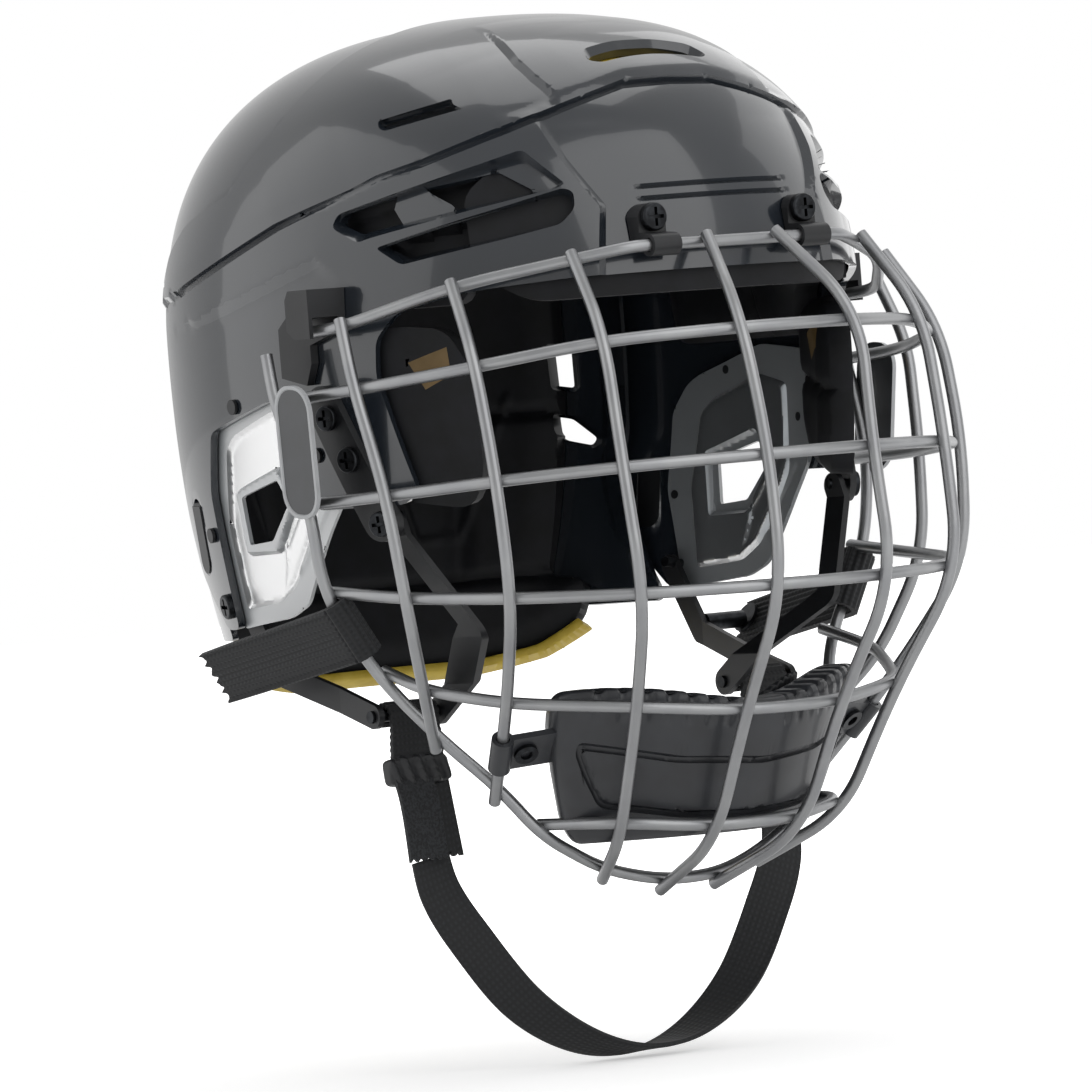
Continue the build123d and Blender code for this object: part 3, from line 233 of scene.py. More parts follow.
# %% [markdown]
# Rigid pieces whose solids already have the right shape stay, and only take a finish. The record says
# which slot each node belongs to.

# %% Dress the solids that stay
for entry in frame["record"]["subparts"]:
    solid = nodes[entry["node"]]
    solid.data.materials.clear()
    solid.data.materials.append(finishes[entry["material_slot"]])
print("dressed:", len(nodes))

# %% [markdown]
# Both shells share one egg-like outer form: level cuts are superellipses, broad at the ears, and the
# crown closes over them. A grid is bent onto that form, one half only, because the helmet is symmetric.

# %% The helmet's outer form
HALF_WIDTH, FRONT_REACH, REAR_REACH, CROWN_RISE = 105.0, 129.0, 121.0, 104.0
WIDEST, MIDDLE, SKIRT, PLAN_POWER, RISE_POWER = -12.0, 31.0, -130.0, 2.27, 2.47
WIDEST_LEVEL = -0.3


def level_scale(z, inset):
    """How far a level section shrinks at a height: sides and front, then rear"""
    if z < WIDEST:
        drop = ((WIDEST - z) / 100) ** 2
        return 1 - 0.07 * drop, 1 - 0.15 * drop
    rise = min((z - WIDEST) / (CROWN_RISE - inset), 1)
    shrink = (1 - rise ** RISE_POWER) ** (1 / RISE_POWER)
    return shrink, shrink


def form_point(turn, level, inset):
    """Point on the form: turn from -1 at the front to 1 at the rear, level from -1 below to 1 on top"""
    if level < WIDEST_LEVEL:
        z = WIDEST + (SKIRT - WIDEST) * (WIDEST_LEVEL - level) / (1 + WIDEST_LEVEL)
        side, rear = level_scale(z, inset)
    else:
        angle = (level - WIDEST_LEVEL) / (1 - WIDEST_LEVEL) * pi / 2
        side = rear = max(cos(angle), 0) ** (2 / RISE_POWER)
        z = WIDEST + (CROWN_RISE - inset) * sin(angle) ** (2 / RISE_POWER)
    angle = turn * pi / 2
    across = abs(cos(angle)) ** (2 / PLAN_POWER)
    along = copysign(abs(sin(angle)) ** (2 / PLAN_POWER), angle)
    reach = (REAR_REACH - inset) * rear if along > 0 else (FRONT_REACH - inset) * side
    return Vector((-(HALF_WIDTH - inset) * side * across, MIDDLE + reach * along, z))


def half_form(inset, turns, levels, low=-1.0, high=1.0, front=-1.0, back=1.0):
    """Right half of the form as a grid of faces that look outwards"""
    half = bmesh.new()
    bmesh.ops.create_grid(half, x_segments=turns, y_segments=levels, size=1.0)
    for vert in half.verts:
        turn = front + (back - front) * (vert.co.x + 1) / 2
        level = low + (high - low) * (vert.co.y + 1) / 2
        vert.co = form_point(turn, level, inset)
    bmesh.ops.remove_doubles(half, verts=half.verts, dist=0.05)
    half.faces.ensure_lookup_table()
    middle = half.faces[len(half.faces) // 2]
    middle.normal_update()
    if middle.normal.x > 0:
        bmesh.ops.reverse_faces(half, faces=half.faces)
    half.normal_update()
    return half


# %% [markdown]
# Openings and edges are drawn as outlines, seen from the side, the front, above or half-way to the
# front. Cutting the faces along an outline first leaves clean edges, where deleting whole faces would
# leave steps.

# %% Cutting along outlines
SIDE_VIEW = (Vector((0, 1, 0)), Vector((0, 0, 1)), Vector((-1, 0, 0)))
FRONT_VIEW = (Vector((1, 0, 0)), Vector((0, 0, 1)), Vector((0, -1, 0)))
TOP_VIEW = (Vector((1, 0, 0)), Vector((0, 1, 0)), Vector((0, 0, 1)))


def turned_view(angle):
    """View from between the right side and the front, or the rear for a negative angle"""
    a = radians(angle)
    return Vector((sin(a), -cos(a), 0)), Vector((0, 0, 1)), Vector((-cos(a), -sin(a), 0))


ON_MIDDLE, CUT_REACH, SLIVER = 0.05, 0.1, 0.25
TEMPLE_VIEW = turned_view(44)
NAPE_VIEW = turned_view(-49.5)


def facing(view):
    """How much a face must look along a view to count; from the side the whole half counts"""
    return -0.2 if view is SIDE_VIEW else 0.05


def seen(point, view):
    """A point's place in a view"""
    return point.dot(view[0]), point.dot(view[1])


def inside(place, outline):
    """Whether a place lies inside an outline"""
    a, b = place
    count = False
    for (a1, b1), (a2, b2) in zip(outline, outline[1:] + outline[:1]):
        if (b1 > b) != (b2 > b) and a < (a2 - a1) * (b - b1) / (b2 - b1) + a1:
            count = not count
    return count


def to_line(place, line, closed=True):
    """Distance from a place to a line of points"""
    best = 1e9
    for (a1, b1), (a2, b2) in list(zip(line, line[1:] + line[:1]))[:None if closed else -1]:
        run_a, run_b, off_a, off_b = a2 - a1, b2 - b1, place[0] - a1, place[1] - b1
        share = min(max((off_a * run_a + off_b * run_b) / (run_a ** 2 + run_b ** 2 + 1e-9), 0), 1)
        best = min(best, hypot(off_a - run_a * share, off_b - run_b * share))
    return best


def rounded(outline, radius, steps=4):
    """Outline with its corners rounded"""
    smooth = []
    for before, corner, after in zip(outline[-1:] + outline[:-1], outline, outline[1:] + outline[:1]):
        before, corner, after = Vector(before), Vector(corner), Vector(after)
        into, out = before - corner, after - corner
        trim = min(radius, into.length * 0.45, out.length * 0.45)
        start, end = corner + into.normalized() * trim, corner + out.normalized() * trim
        for step in range(steps + 1):
            share = step / steps
            point = start * (1 - share) ** 2 + corner * 2 * share * (1 - share) + end * share ** 2
            smooth.append((point.x, point.y))
    return smooth


def of_kind(geometry, kind):
    """The vertices or the faces among what an operation made"""
    return [g for g in geometry if isinstance(g, kind)]


def cut(piece, outline, view, margin=2.5, closed=True):
    """Cut the faces that look along a view where an outline crosses them, and weld slivers to the cut"""
    corners = list(zip(outline, outline[1:] + outline[:1]))
    on_cut = {}
    across, along = [p[0] for p in outline], [p[1] for p in outline]
    near = {}
    for face in piece.faces:
        a, b = seen(face.calc_center_median(), view)
        if (min(across) - margin < a < max(across) + margin and min(along) - margin < b < max(along) + margin
                and face.normal.dot(view[2]) > facing(view)):
            near[face] = True
    for (a1, b1), (a2, b2) in corners if closed else corners[:-1]:
        low_a, high_a = min(a1, a2) - margin, max(a1, a2) + margin
        low_b, high_b = min(b1, b2) - margin, max(b1, b2) + margin
        faces = []
        for face in near:
            a, b = seen(face.calc_center_median(), view)
            if low_a < a < high_a and low_b < b < high_b:
                faces.append(face)
        touched = dict.fromkeys([e for f in faces for e in f.edges] + [v for f in faces for v in f.verts])
        square = view[0] * (b2 - b1) - view[1] * (a2 - a1)
        if square.length > 1e-6 and faces:
            made = bmesh.ops.bisect_plane(piece, geom=faces + list(touched), dist=1e-3,
                                          plane_co=view[0] * a1 + view[1] * b1, plane_no=square.normalized())
            near.update((face, True) for face in of_kind(made["geom"], bmesh.types.BMFace))
            for vert in of_kind(made["geom_cut"], bmesh.types.BMVert):
                a, b = seen(vert.co, view)
                if (min(a1, a2) - CUT_REACH <= a <= max(a1, a2) + CUT_REACH
                        and min(b1, b2) - CUT_REACH <= b <= max(b1, b2) + CUT_REACH):
                    on_cut[vert] = True
    kept = [v for v in on_cut if v.is_valid]
    beside_cut = list(dict.fromkeys([v for k in kept for f in k.link_faces for v in f.verts] + kept))
    doubles = bmesh.ops.find_doubles(piece, verts=beside_cut, keep_verts=kept, dist=SLIVER)
    bmesh.ops.weld_verts(piece, targetmap=doubles["targetmap"])
    piece.normal_update()


def faces_in(piece, outline, view):
    """Faces that look along a view and lie inside an outline"""
    return [f for f in piece.faces
            if f.normal.dot(view[2]) > facing(view) and inside(seen(f.calc_center_median(), view), outline)]


def keep_inside(piece, outline, view):
    """Delete the faces outside an outline"""
    gone = [f for f in piece.faces if not inside(seen(f.calc_center_median(), view), outline)]
    bmesh.ops.delete(piece, geom=gone, context="FACES")
    piece.normal_update()


def open_middle(piece):
    """Delete the wall that an extrusion leaves on the middle plane"""
    seam = [f for f in piece.faces if all(abs(v.co.x) < ON_MIDDLE for v in f.verts)]
    bmesh.ops.delete(piece, geom=seam, context="FACES_ONLY")


def sink(piece, faces, view, depth, taper=(0.94, 0.8)):
    """Sink faces along the view, with sloping walls, and return the floor"""
    made = bmesh.ops.extrude_face_region(piece, geom=faces, use_keep_orig=True)["geom"]
    floor = of_kind(made, bmesh.types.BMFace)
    bmesh.ops.delete(piece, geom=faces, context="FACES")
    verts = list(dict.fromkeys(v for f in floor for v in f.verts))
    centre = sum((v.co for v in verts), Vector()) / len(verts)
    on_middle = [v for v in verts if abs(v.co.x) < ON_MIDDLE]
    if on_middle:
        centre.x = 0
    for vert in verts:
        a, b = seen(vert.co - centre, view)
        vert.co -= view[2] * depth + view[0] * a * (1 - taper[0]) + view[1] * b * (1 - taper[1])
    for vert in on_middle:
        vert.co.x = 0
    open_middle(piece)
    return floor


def form_level(point, inset):
    """Value that is 0 on the form, less inside and more outside"""
    reach = REAR_REACH - inset if point.y > MIDDLE else FRONT_REACH - inset
    width = HALF_WIDTH - inset
    if point.z < WIDEST:
        side, rear = level_scale(point.z, inset)
        width *= side
        reach *= rear if point.y > MIDDLE else side
    plan = (abs(point.x) / width) ** PLAN_POWER + (abs(point.y - MIDDLE) / reach) ** PLAN_POWER
    if point.z < WIDEST:
        return plan ** (RISE_POWER / PLAN_POWER) - 1
    rise = (point.z - WIDEST) / (CROWN_RISE - inset)
    return plan ** (RISE_POWER / PLAN_POWER) + rise ** RISE_POWER - 1


def form_normal(point, inset):
    """Outward direction of the form at a point"""
    steps = [Vector((0.2, 0, 0)), Vector((0, 0.2, 0)), Vector((0, 0, 0.2))]
    slope = Vector([form_level(point + step, inset) - form_level(point - step, inset) for step in steps])
    if abs(point.x) < ON_MIDDLE:
        slope.x = 0
    return slope.normalized()


def thicken(piece, thickness, inset):
    """Give a surface its wall, inwards from the form, with its rims closed"""
    made = bmesh.ops.extrude_face_region(piece, geom=piece.faces[:], use_keep_orig=True)["geom"]
    for vert in of_kind(made, bmesh.types.BMVert):
        vert.co -= form_normal(vert.co, inset) * thickness
    open_middle(piece)


def to_object(piece, name, finish_of, body, stands_for=(), scale=MM, sharp=35):
    """Object from a bmesh in millimetres, smooth apart from its sharp edges, that rides on a body"""
    bmesh.ops.scale(piece, vec=(scale, scale, scale), verts=piece.verts)
    mesh = bpy.data.meshes.new(name)
    piece.to_mesh(mesh)
    piece.free()
    mesh.shade_smooth()
    mesh.set_sharp_from_angle(angle=radians(sharp))
    made = bpy.data.objects.new(name, mesh)
    bpy.context.scene.collection.objects.link(made)
    made.data.materials.append(finish_of)
    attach(made, body)
    if stands_for:
        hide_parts(*stands_for)
    return made


def mirror_over(piece):
    """Add the left half to a right half"""
    bmesh.ops.mirror(piece, geom=piece.verts[:] + piece.edges[:] + piece.faces[:], axis="X", merge_dist=0.02)
    bmesh.ops.recalc_face_normals(piece, faces=piece.faces)


def sides(piece):
    """A pair of like pieces by side: the left-hand twin of a right-hand piece, and that piece"""
    twin = piece.copy()
    bmesh.ops.scale(twin, vec=(-1, 1, 1), verts=twin.verts)
    bmesh.ops.recalc_face_normals(twin, faces=twin.faces)
    return ("left", twin), ("right", piece)


# %% [markdown]
# The front shell reaches over the brow, the temples and the ears. Its temple vents are deep pockets with
# a bar between them, two fine grooves cross the forehead panel, and a ledge runs from the ear over the
# temple to the crown slot. Fine relief is raised or sunk along lines on the finished surface.

# %% Outlines of the front shell
rear_edge = [(22, 130), (25, 84), (31, 60), (46, 38), (74, 30), (88, 21), (95, 8), (97, -4), (97, -68),
             (92, -86), (72, -106)]
face_edge = [(62, -106), (66, -60), (60, -40), (22, -31), (4, -34), (3, -68), (-34, -68), (-39, -64),
             (-29, -26), (-30, -14), (-38, -6), (-60, -1), (-85, 1), (-130, 2), (-130, 130)]
pocket = rounded([(-56.5, 27.8), (7.5, 43.4), (21.3, 31.1), (18.8, 30), (-10.3, 25.2), (-22.5, 23),
                  (-45, 19.1), (-49.5, 17.9), (-58.8, 23.5)], 2.0)
web_on = [(-34.2, 42), (-37.6, 27), (-31.5, 15), (30, 15), (30, 48), (-34.2, 48)]
window = rounded([(-26, 34.3), (0.4, 38.4), (12.4, 29.9), (12.4, 20), (-12.5, 20), (-15.6, 26.5),
                  (-23.6, 32)], 1.5)
slot_lower = rounded([(-43.1, 15.7), (-22.6, 20.5), (20.7, 29.8), (23.8, 28.3), (24.2, 23.1), (19.7, 18.4),
                      (-0.2, 14.8), (-34.2, 9.5)], 2.0)
slot_upper = rounded([(-42.3, 57.1), (-16.6, 62), (-16, 60), (-12.5, 58.1), (-39.5, 53.5), (-41.7, 54.5)],
                     1.0)
crown_slot = rounded([(-24, -59), (-21, -53), (-8, -51.2), (8, -51.2), (21, -53), (24, -59), (20, -61.5),
                      (0, -60.5), (-20, -61.5)], 2.0)
lock_turns = [k * pi / 12 for k in range(24)]
lock_slot = [(82 + 5 * sin(a), -73 + copysign(9.2, cos(a)) + 5.3 * cos(a)) for a in lock_turns]
GROOVE_LEVELS, GROOVE_REACH, GROOVE_DEPTH, BORDER_TOP = (29.0, 25.0), 31.2, 1.3, 56

# %% [markdown]
# Creases are drawn once as lines of points on the finished shell. The mesh is cut along each line and
# along parallels beside it, so that a step of a millimetre comes out crisp. A profile then says how high
# the surface stands at each distance from the line.

# %% Lines and profiles of relief
ledge = [((-99.5, 76, 8.1), 1.0), ((-100.8, 14.2, 26.4), 0.9), ((-98.7, 1.8, 29.8), 0.6),
         ((-92.9, -17.7, 35.4), 0.25), ((-88.4, -27.1, 39.2), 0.35), ((-80.4, -40.9, 42.7), 0.6),
         ((-66.3, -55.3, 48.8), 0.9), ((-58.8, -60.5, 51.3), 1.0), ((-46.4, -65.9, 55.5), 1.0),
         ((-32.1, -68.7, 59.8), 1.0), ((-16.9, -68.5, 63.7), 1.0), ((2, -69.5, 64.3), 1.0)]
flank = [((-102.8, 64, -1.5), 0.5), ((-100.6, -6.4, 15), 1.0), ((-99.1, -17.6, 7.4), 0.4)]
border = [((-49.5, -66, 54.5), 0.6), ((-46, -75, 40), 1.0), ((-41, -87, 23.7), 1.0),
          ((-43.2, -88.4, 12), 1.0), ((-44, -88.4, 1), 1.0)]
crown_edge = [((-33, -8, 88), 0.0), ((-36, -20, 84), 0.5), ((-40.6, -35.1, 77.8), 1.0),
              ((-43.6, -45.4, 72), 1.0), ((-44.3, -55, 65.9), 1.0), ((-43.5, -63.2, 59.8), 1.0)]
crown_profile = [(-16, 0), (-5, -0.7), (0, -0.9), (2.2, 0.9), (14, 1.1), (45, 0.9)]
ledge_profile = [(-14, 0), (-2.2, 0), (-1.4, -1.2), (-0.4, -1.3), (0, 1.5), (6, 1.4), (26, 0.3), (45, 0)]
flank_profile = [(-16, 0), (-5, -0.5), (0, 0.6), (8, 0.3), (18, 0)]
border_profile = [(-24, 0), (-5, 1.2), (-2.5, 1.4), (0, -0.9), (10, -0.6), (26, 0)]


def beside(place, line):
    """Signed distance from a line in a view, positive on its left hand, and the weight there"""
    best = (1e9, 0)
    for (a1, b1, w1), (a2, b2, w2) in zip(line, line[1:]):
        run_a, run_b, off_a, off_b = a2 - a1, b2 - b1, place[0] - a1, place[1] - b1
        share = min(max((off_a * run_a + off_b * run_b) / (run_a ** 2 + run_b ** 2), 0), 1)
        distance = hypot(off_a - run_a * share, off_b - run_b * share)
        if distance < abs(best[0]) - 1e-6:
            best = (copysign(distance, run_a * off_b - run_b * off_a), w1 + (w2 - w1) * share)
    return best


def profile_height(distance, profile):
    """Height at a distance, from a profile's points"""
    for (d1, h1), (d2, h2) in zip(profile, profile[1:]):
        if d1 <= distance <= d2:
            return h1 + (h2 - h1) * (distance - d1) / (d2 - d1)
    return 0.0


def in_view(line, view):
    """A line of points and weights, as a view shows it"""
    return [(*seen(Vector(point), view), weight) for point, weight in line]


def score(piece, line, view, steps):
    """Cut along a line and along its parallels"""
    for step in steps:
        shifted = []
        for k, (a, b, weight) in enumerate(line):
            (a1, b1, w), (a2, b2, w) = line[max(k - 1, 0)], line[min(k + 1, len(line) - 1)]
            length = hypot(a2 - a1, b2 - b1)
            shifted.append((a - (b2 - b1) / length * step, b + (a2 - a1) / length * step))
        cut(piece, shifted, view, 2.5, closed=False)


ledge_seen, flank_seen, border_seen = (in_view(line, TEMPLE_VIEW) for line in (ledge, flank, border))
crown_seen = in_view(crown_edge, TOP_VIEW)
print("ledge seen from the temple:", [tuple(round(v, 1) for v in p) for p in ledge_seen][:3])

# %% Front shell
FRONT_WALL, REAR_WALL, REAR_INSET = 2.6, 2.2, 1.5
front = half_form(0, 200, 178)
front_keep = rounded(rear_edge + face_edge, 3.0)
for outline, view in ((front_keep, SIDE_VIEW), (pocket, TEMPLE_VIEW), (web_on, TEMPLE_VIEW),
                      (window, TEMPLE_VIEW), (slot_lower, TEMPLE_VIEW), (slot_upper, TEMPLE_VIEW),
                      (crown_slot, TOP_VIEW), (lock_slot, SIDE_VIEW)):
    cut(front, outline, view)
score(front, ledge_seen, TEMPLE_VIEW, (0, -0.4, -1.4, -2.2))
score(front, crown_seen, TOP_VIEW, (0, 2.2))
score(front, flank_seen, TEMPLE_VIEW, (0,))
score(front, border_seen, TEMPLE_VIEW, (0, -2.5))
for z in GROOVE_LEVELS:
    for offset in (-0.9, 0, 0.9):
        cut(front, [(-31, z + offset), (0, z + offset)], FRONT_VIEW, 1.5, closed=False)
keep_inside(front, front_keep, SIDE_VIEW)
openings = ((pocket, TEMPLE_VIEW, 3.0), (slot_lower, TEMPLE_VIEW, 4.0), (slot_upper, TEMPLE_VIEW, 2.5),
            (crown_slot, TOP_VIEW, 3.0), (lock_slot, SIDE_VIEW, 0.4))
POCKET, FLOOR, CRUMB_AREA = 1, 9, 12
for mark, (outline, view, depth) in enumerate(openings, POCKET):
    for face in faces_in(front, outline, view):
        place = seen(face.calc_center_median(), TEMPLE_VIEW)
        stays = mark == POCKET and inside(place, web_on) and not inside(place, window)
        face.material_index = FLOOR if stays else mark
for vert in front.verts:
    place = seen(vert.co, TEMPLE_VIEW)
    height = 0.0
    if vert.normal.dot(TEMPLE_VIEW[2]) > -0.1 or vert.co.z > 40:
        distance, weight = beside(place, ledge_seen)
        height += weight * profile_height(distance, ledge_profile)
        if distance > 0 and vert.co.y < 0:
            crest, weight = beside(seen(vert.co, TOP_VIEW), crown_seen)
            height += weight * profile_height(crest, crown_profile) * min(distance / 3, 1)
        distance, weight = beside(place, flank_seen)
        height += weight * profile_height(distance, flank_profile)
        distance, weight = beside(place, border_seen)
        if vert.co.z < BORDER_TOP:
            fading = min((BORDER_TOP - vert.co.z) / 6, 1)
            height += weight * profile_height(distance, border_profile) * fading
    if vert.co.y < -60 and abs(vert.co.x) < GROOVE_REACH:
        for z in GROOVE_LEVELS:
            if abs(vert.co.z - z) < 0.3:
                height -= GROOVE_DEPTH * min((GROOVE_REACH - abs(vert.co.x)) / 2, 1)
    if height:
        vert.co += form_normal(vert.co, 0) * height
front.normal_update()
for mark, (outline, view, depth) in enumerate(openings, POCKET):
    marks = (mark, FLOOR) if mark == POCKET else (mark,)
    floor = sink(front, [f for f in front.faces if f.material_index in marks], view, depth)
    through = [f for f in floor if f.is_valid and f.material_index == mark]
    bmesh.ops.delete(front, geom=through, context="FACES")
    for face in front.faces:
        if face.material_index == mark:
            face.material_index = 0
crumbs = []
left = {f for f in front.faces if f.material_index == FLOOR}
while left:
    island, edge_on = set(), {left.pop()}
    while edge_on:
        island |= edge_on
        edge_on = {g for f in edge_on for e in f.edges for g in e.link_faces if g in left}
        left -= edge_on
    if sum(f.calc_area() for f in island) < CRUMB_AREA:
        crumbs += island
bmesh.ops.delete(front, geom=crumbs, context="FACES")
for face in front.faces:
    face.material_index = 0
front.normal_update()
thicken(front, FRONT_WALL, 0)
mirror_over(front)
front_shell = to_object(front, "front_shell_surface", shell_gloss, "helmet", ("front_shell",))
print("front shell faces:", len(front_shell.data.polygons))

# %% [markdown]
# The rear shell is a second moulding of the same form, a step lower, so that the front one slides over
# it when the helmet is sized. Its hidden edge slopes inwards, or its wide middle would jam as it slides
# back. Its own vents show round the nape.

# %% Rear shell
STEP_DEPTH, STEP_WIDTH, EDGE_WIDTH, EDGE_SLOPE, SLOPE_TOP, SLOPE_FADE = 1.9, 1.6, 13, 0.56, 60, 25
nape_vents = (rounded([(-15.2, -18), (-5.5, -19), (-5.3, -36), (-14.5, -34)], 1.5),
              rounded([(-15, -42), (-7, -44), (2, -53), (0, -56), (-10, -53), (-14.5, -49)], 1.5))
rear_keep = rounded([(12, 130), (13, 84), (18, 58), (36, 32.5), (66, 22), (78, 12), (83, 4), (84, -4),
                     (84, -52), (88, -60), (83, -82), (74, -110), (100, -110), (170, -100), (170, 130)], 3.0)
rear = half_form(REAR_INSET, 160, 150)
cut(rear, rear_keep, SIDE_VIEW)
cut(rear, front_keep, SIDE_VIEW)
score(rear, [(a, b, 1) for a, b in rear_edge], SIDE_VIEW, (STEP_WIDTH,))
for outline in nape_vents:
    cut(rear, outline, NAPE_VIEW)
keep_inside(rear, rear_keep, SIDE_VIEW)
for vert in rear.verts:
    place = seen(vert.co, SIDE_VIEW)
    beyond = 0 if inside(place, front_keep) else to_line(place, front_keep)
    if beyond < STEP_WIDTH:
        under = min(to_line(place, front_keep), EDGE_WIDTH) if beyond == 0 else 0
        side_share = min(max((SLOPE_TOP - vert.co.z) / SLOPE_FADE, 0), 1)
        vert.co -= form_normal(vert.co, REAR_INSET) * (STEP_DEPTH * (1 - beyond / STEP_WIDTH)
                                                       + EDGE_SLOPE * under * side_share)
rear.normal_update()
for outline in nape_vents:
    floor = sink(rear, faces_in(rear, outline, NAPE_VIEW), NAPE_VIEW, 3.0)
    bmesh.ops.delete(rear, geom=floor, context="FACES")
    rear.normal_update()
thicken(rear, REAR_WALL, REAR_INSET)
mirror_over(rear)
rear_shell = to_object(rear, "rear_shell_surface", shell_gloss, "rear", ("rear_shell",))
print("rear shell faces:", len(rear_shell.data.polygons))

# %% [markdown]
# The liner is moulded foam: each pad is a slab on the inside of the shell, domed towards the head, soft
# at its edges and creased along its channels. A fine patch of the form is cut to the pad's outline, its
# inner face is drawn down at the edges and channels, and the patch is extruded back to the shell.

# %% Patches of the form
FRONT_LINER, REAR_LINER = 3.4, 4.5
CHANNEL_DEPTH, CHANNEL_WIDTH, RIDGE_HEIGHT, RIDGE_WIDTH = 2.6, 1.8, 1.1, 1.8
HOLLOW_DEPTH, HOLLOW_EDGE, LEAST_WALL, BELL_BASE = 6.5, 3, 2, 2.718
SCAN_TURNS, SCAN_LEVELS, FORM_LENGTH, FORM_HEIGHT = 30, 120, 200, 130


def patch(outline, view, inset, cell=1.8):
    """Fine grid on the form, cut to an outline"""
    found = []
    for i in range(2 * SCAN_TURNS + 1):
        for j in range(2 * SCAN_LEVELS + 1):
            turn, level = -1 + i / SCAN_TURNS, -1 + j / SCAN_LEVELS
            point = form_point(turn, level, inset)
            if inside(seen(point, view), outline) and form_normal(point, inset).dot(view[2]) > facing(view):
                found.append((turn, level))
    spans = [(max(min(values) - 0.04, -1), min(max(values) + 0.04, 1)) for values in zip(*found)]
    (low_turn, high_turn), (low_level, high_level) = spans
    turns = int((high_turn - low_turn) * FORM_LENGTH / cell)
    levels = int((high_level - low_level) * FORM_HEIGHT / cell)
    piece = half_form(inset, turns, levels, low_level, high_level, low_turn, high_turn)
    cut(piece, outline, view)
    keep_inside(piece, outline, view)
    return piece


def foam_slab(outline, view, outer, thickness, channels=(), draw=4.5, edge=9.0, holes=(), corner=5.0,
              cell=1.8, ridges=(), hollows=(), inlay=()):
    """Domed slab of foam under the shell, inside an outline, with channels, ridges and holes from behind"""
    corners = rounded(outline, corner)
    slab = patch(corners, view, outer + thickness, cell)
    if inlay:
        cut(slab, inlay, view)
        for face in faces_in(slab, inlay, view):
            face.material_index = 1
    for hole in holes:
        cut(slab, hole, NAPE_VIEW)
        bmesh.ops.delete(slab, geom=faces_in(slab, hole, NAPE_VIEW), context="FACES")
    for vert in slab.verts:
        place = seen(vert.co, view)
        sunk = draw * (1 - min(to_line(place, corners) / edge, 1)) ** 2
        for channel in channels:
            sunk += CHANNEL_DEPTH * BELL_BASE ** (-(to_line(place, channel, False) / CHANNEL_WIDTH) ** 2)
        for ridge in ridges:
            sunk -= RIDGE_HEIGHT * max(1 - to_line(seen(vert.co, FRONT_VIEW), ridge, False) / RIDGE_WIDTH, 0)
        vert.co += form_normal(vert.co, outer + thickness) * min(sunk, thickness - LEAST_WALL)
    made = bmesh.ops.extrude_face_region(slab, geom=slab.faces[:], use_keep_orig=True)["geom"]
    for vert in of_kind(made, bmesh.types.BMVert):
        way = form_normal(vert.co, outer)
        low, high = 0.0, thickness + 6
        for step in range(14):
            middle = (low + high) / 2
            low, high = (middle, high) if form_level(vert.co + way * middle, outer) < 0 else (low, middle)
        vert.co += way * low
        for hollow, hollow_view in hollows:
            place = seen(vert.co, hollow_view)
            beyond = 0 if inside(place, hollow) else to_line(place, hollow)
            if beyond < HOLLOW_EDGE:
                vert.co -= way * HOLLOW_DEPTH * (1 - beyond / HOLLOW_EDGE)
                break
    open_middle(slab)
    return slab


def pad_piece(slab, name, node, body="helmet", skin=None):
    """Closed slab made into a pad object that stands for a node and hides it"""
    bmesh.ops.recalc_face_normals(slab, faces=slab.faces)
    made = to_object(slab, name, skin or foam_skin, body, (node,), sharp=60)
    print(name, len(made.data.polygons), "faces")
    return made


# %% Pads in front, at the temples and beside the head
brow = foam_slab([(-66, 4), (-56, -6), (56, -6), (66, 4), (64, 26), (48, 39), (-48, 39), (-64, 26)],
                 FRONT_VIEW, FRONT_LINER, 12.6,
                 ([(-66, 15.5), (0, 15.5)], [(-22, -6), (-26, 15.5)], [(-48, 15.5), (-40, 39)]))
mirror_over(brow)
pad_piece(brow, "brow_band", "brow_pad")
temple = foam_slab([(-46, -70), (-26, -66), (-18, -52), (-17, -14), (-28, -10), (-44, -12), (-50, -26),
                    (-50, -58)], SIDE_VIEW, FRONT_LINER, 11.6, ([(-50, -41.5), (-17, -35.5)],), edge=7.0,
                   inlay=[(-32.5, -22), (-44, -18), (-44.5, -27), (-37, -31)])
for name, shape in sides(temple):
    pad_piece(shape, "temple_cushion_" + name, "temple_pad_" + name).data.materials.append(amber_foam)
side = foam_slab([(-50, -5), (-14, -5), (-12, -22), (56, -22), (59, -5), (54, 15), (43, 25), (18, 32),
                  (12, 42), (-42, 42), (-50, 34)], SIDE_VIEW, FRONT_LINER, 12.6,
                 ([(-50, 13.5), (54, 3.5)], [(6, -22), (16, 8)], [(-22, 11), (-18, 42)]),
                 hollows=((pocket, TEMPLE_VIEW), (slot_lower, TEMPLE_VIEW)))
for name, shape in sides(side):
    pad_piece(shape, "side_cushion_" + name, "side_pad_" + name)

# %% Pads of the crown and the nape
front_crown = foam_slab([(-42, -63), (42, -63), (50, -30), (46, -4), (-46, -4), (-50, -30)], TOP_VIEW,
                        FRONT_LINER, 14.6, ([(-50, -28.5), (0, -28.5)], [(-20, -28.5), (-16, -4)]))
mirror_over(front_crown)
crown_pad = pad_piece(front_crown, "front_crown_cushion", "front_crown_pad")
crown_pad.data.materials.append(yellow_foam)
for polygon in crown_pad.data.polygons:
    if polygon.normal.z > 0.5 and polygon.center.y < -44 * MM:
        polygon.material_index = 1
rear_crown = foam_slab([(-46, 30), (46, 30), (56, 52), (44, 88), (-44, 88), (-56, 52)], TOP_VIEW,
                       REAR_LINER, 14.6, ([(-56, 58.5), (0, 58.5)], [(-20, 58.5), (-16, 88)]))
mirror_over(rear_crown)
pad_piece(rear_crown, "rear_crown_cushion", "rear_crown_pad", "rear")
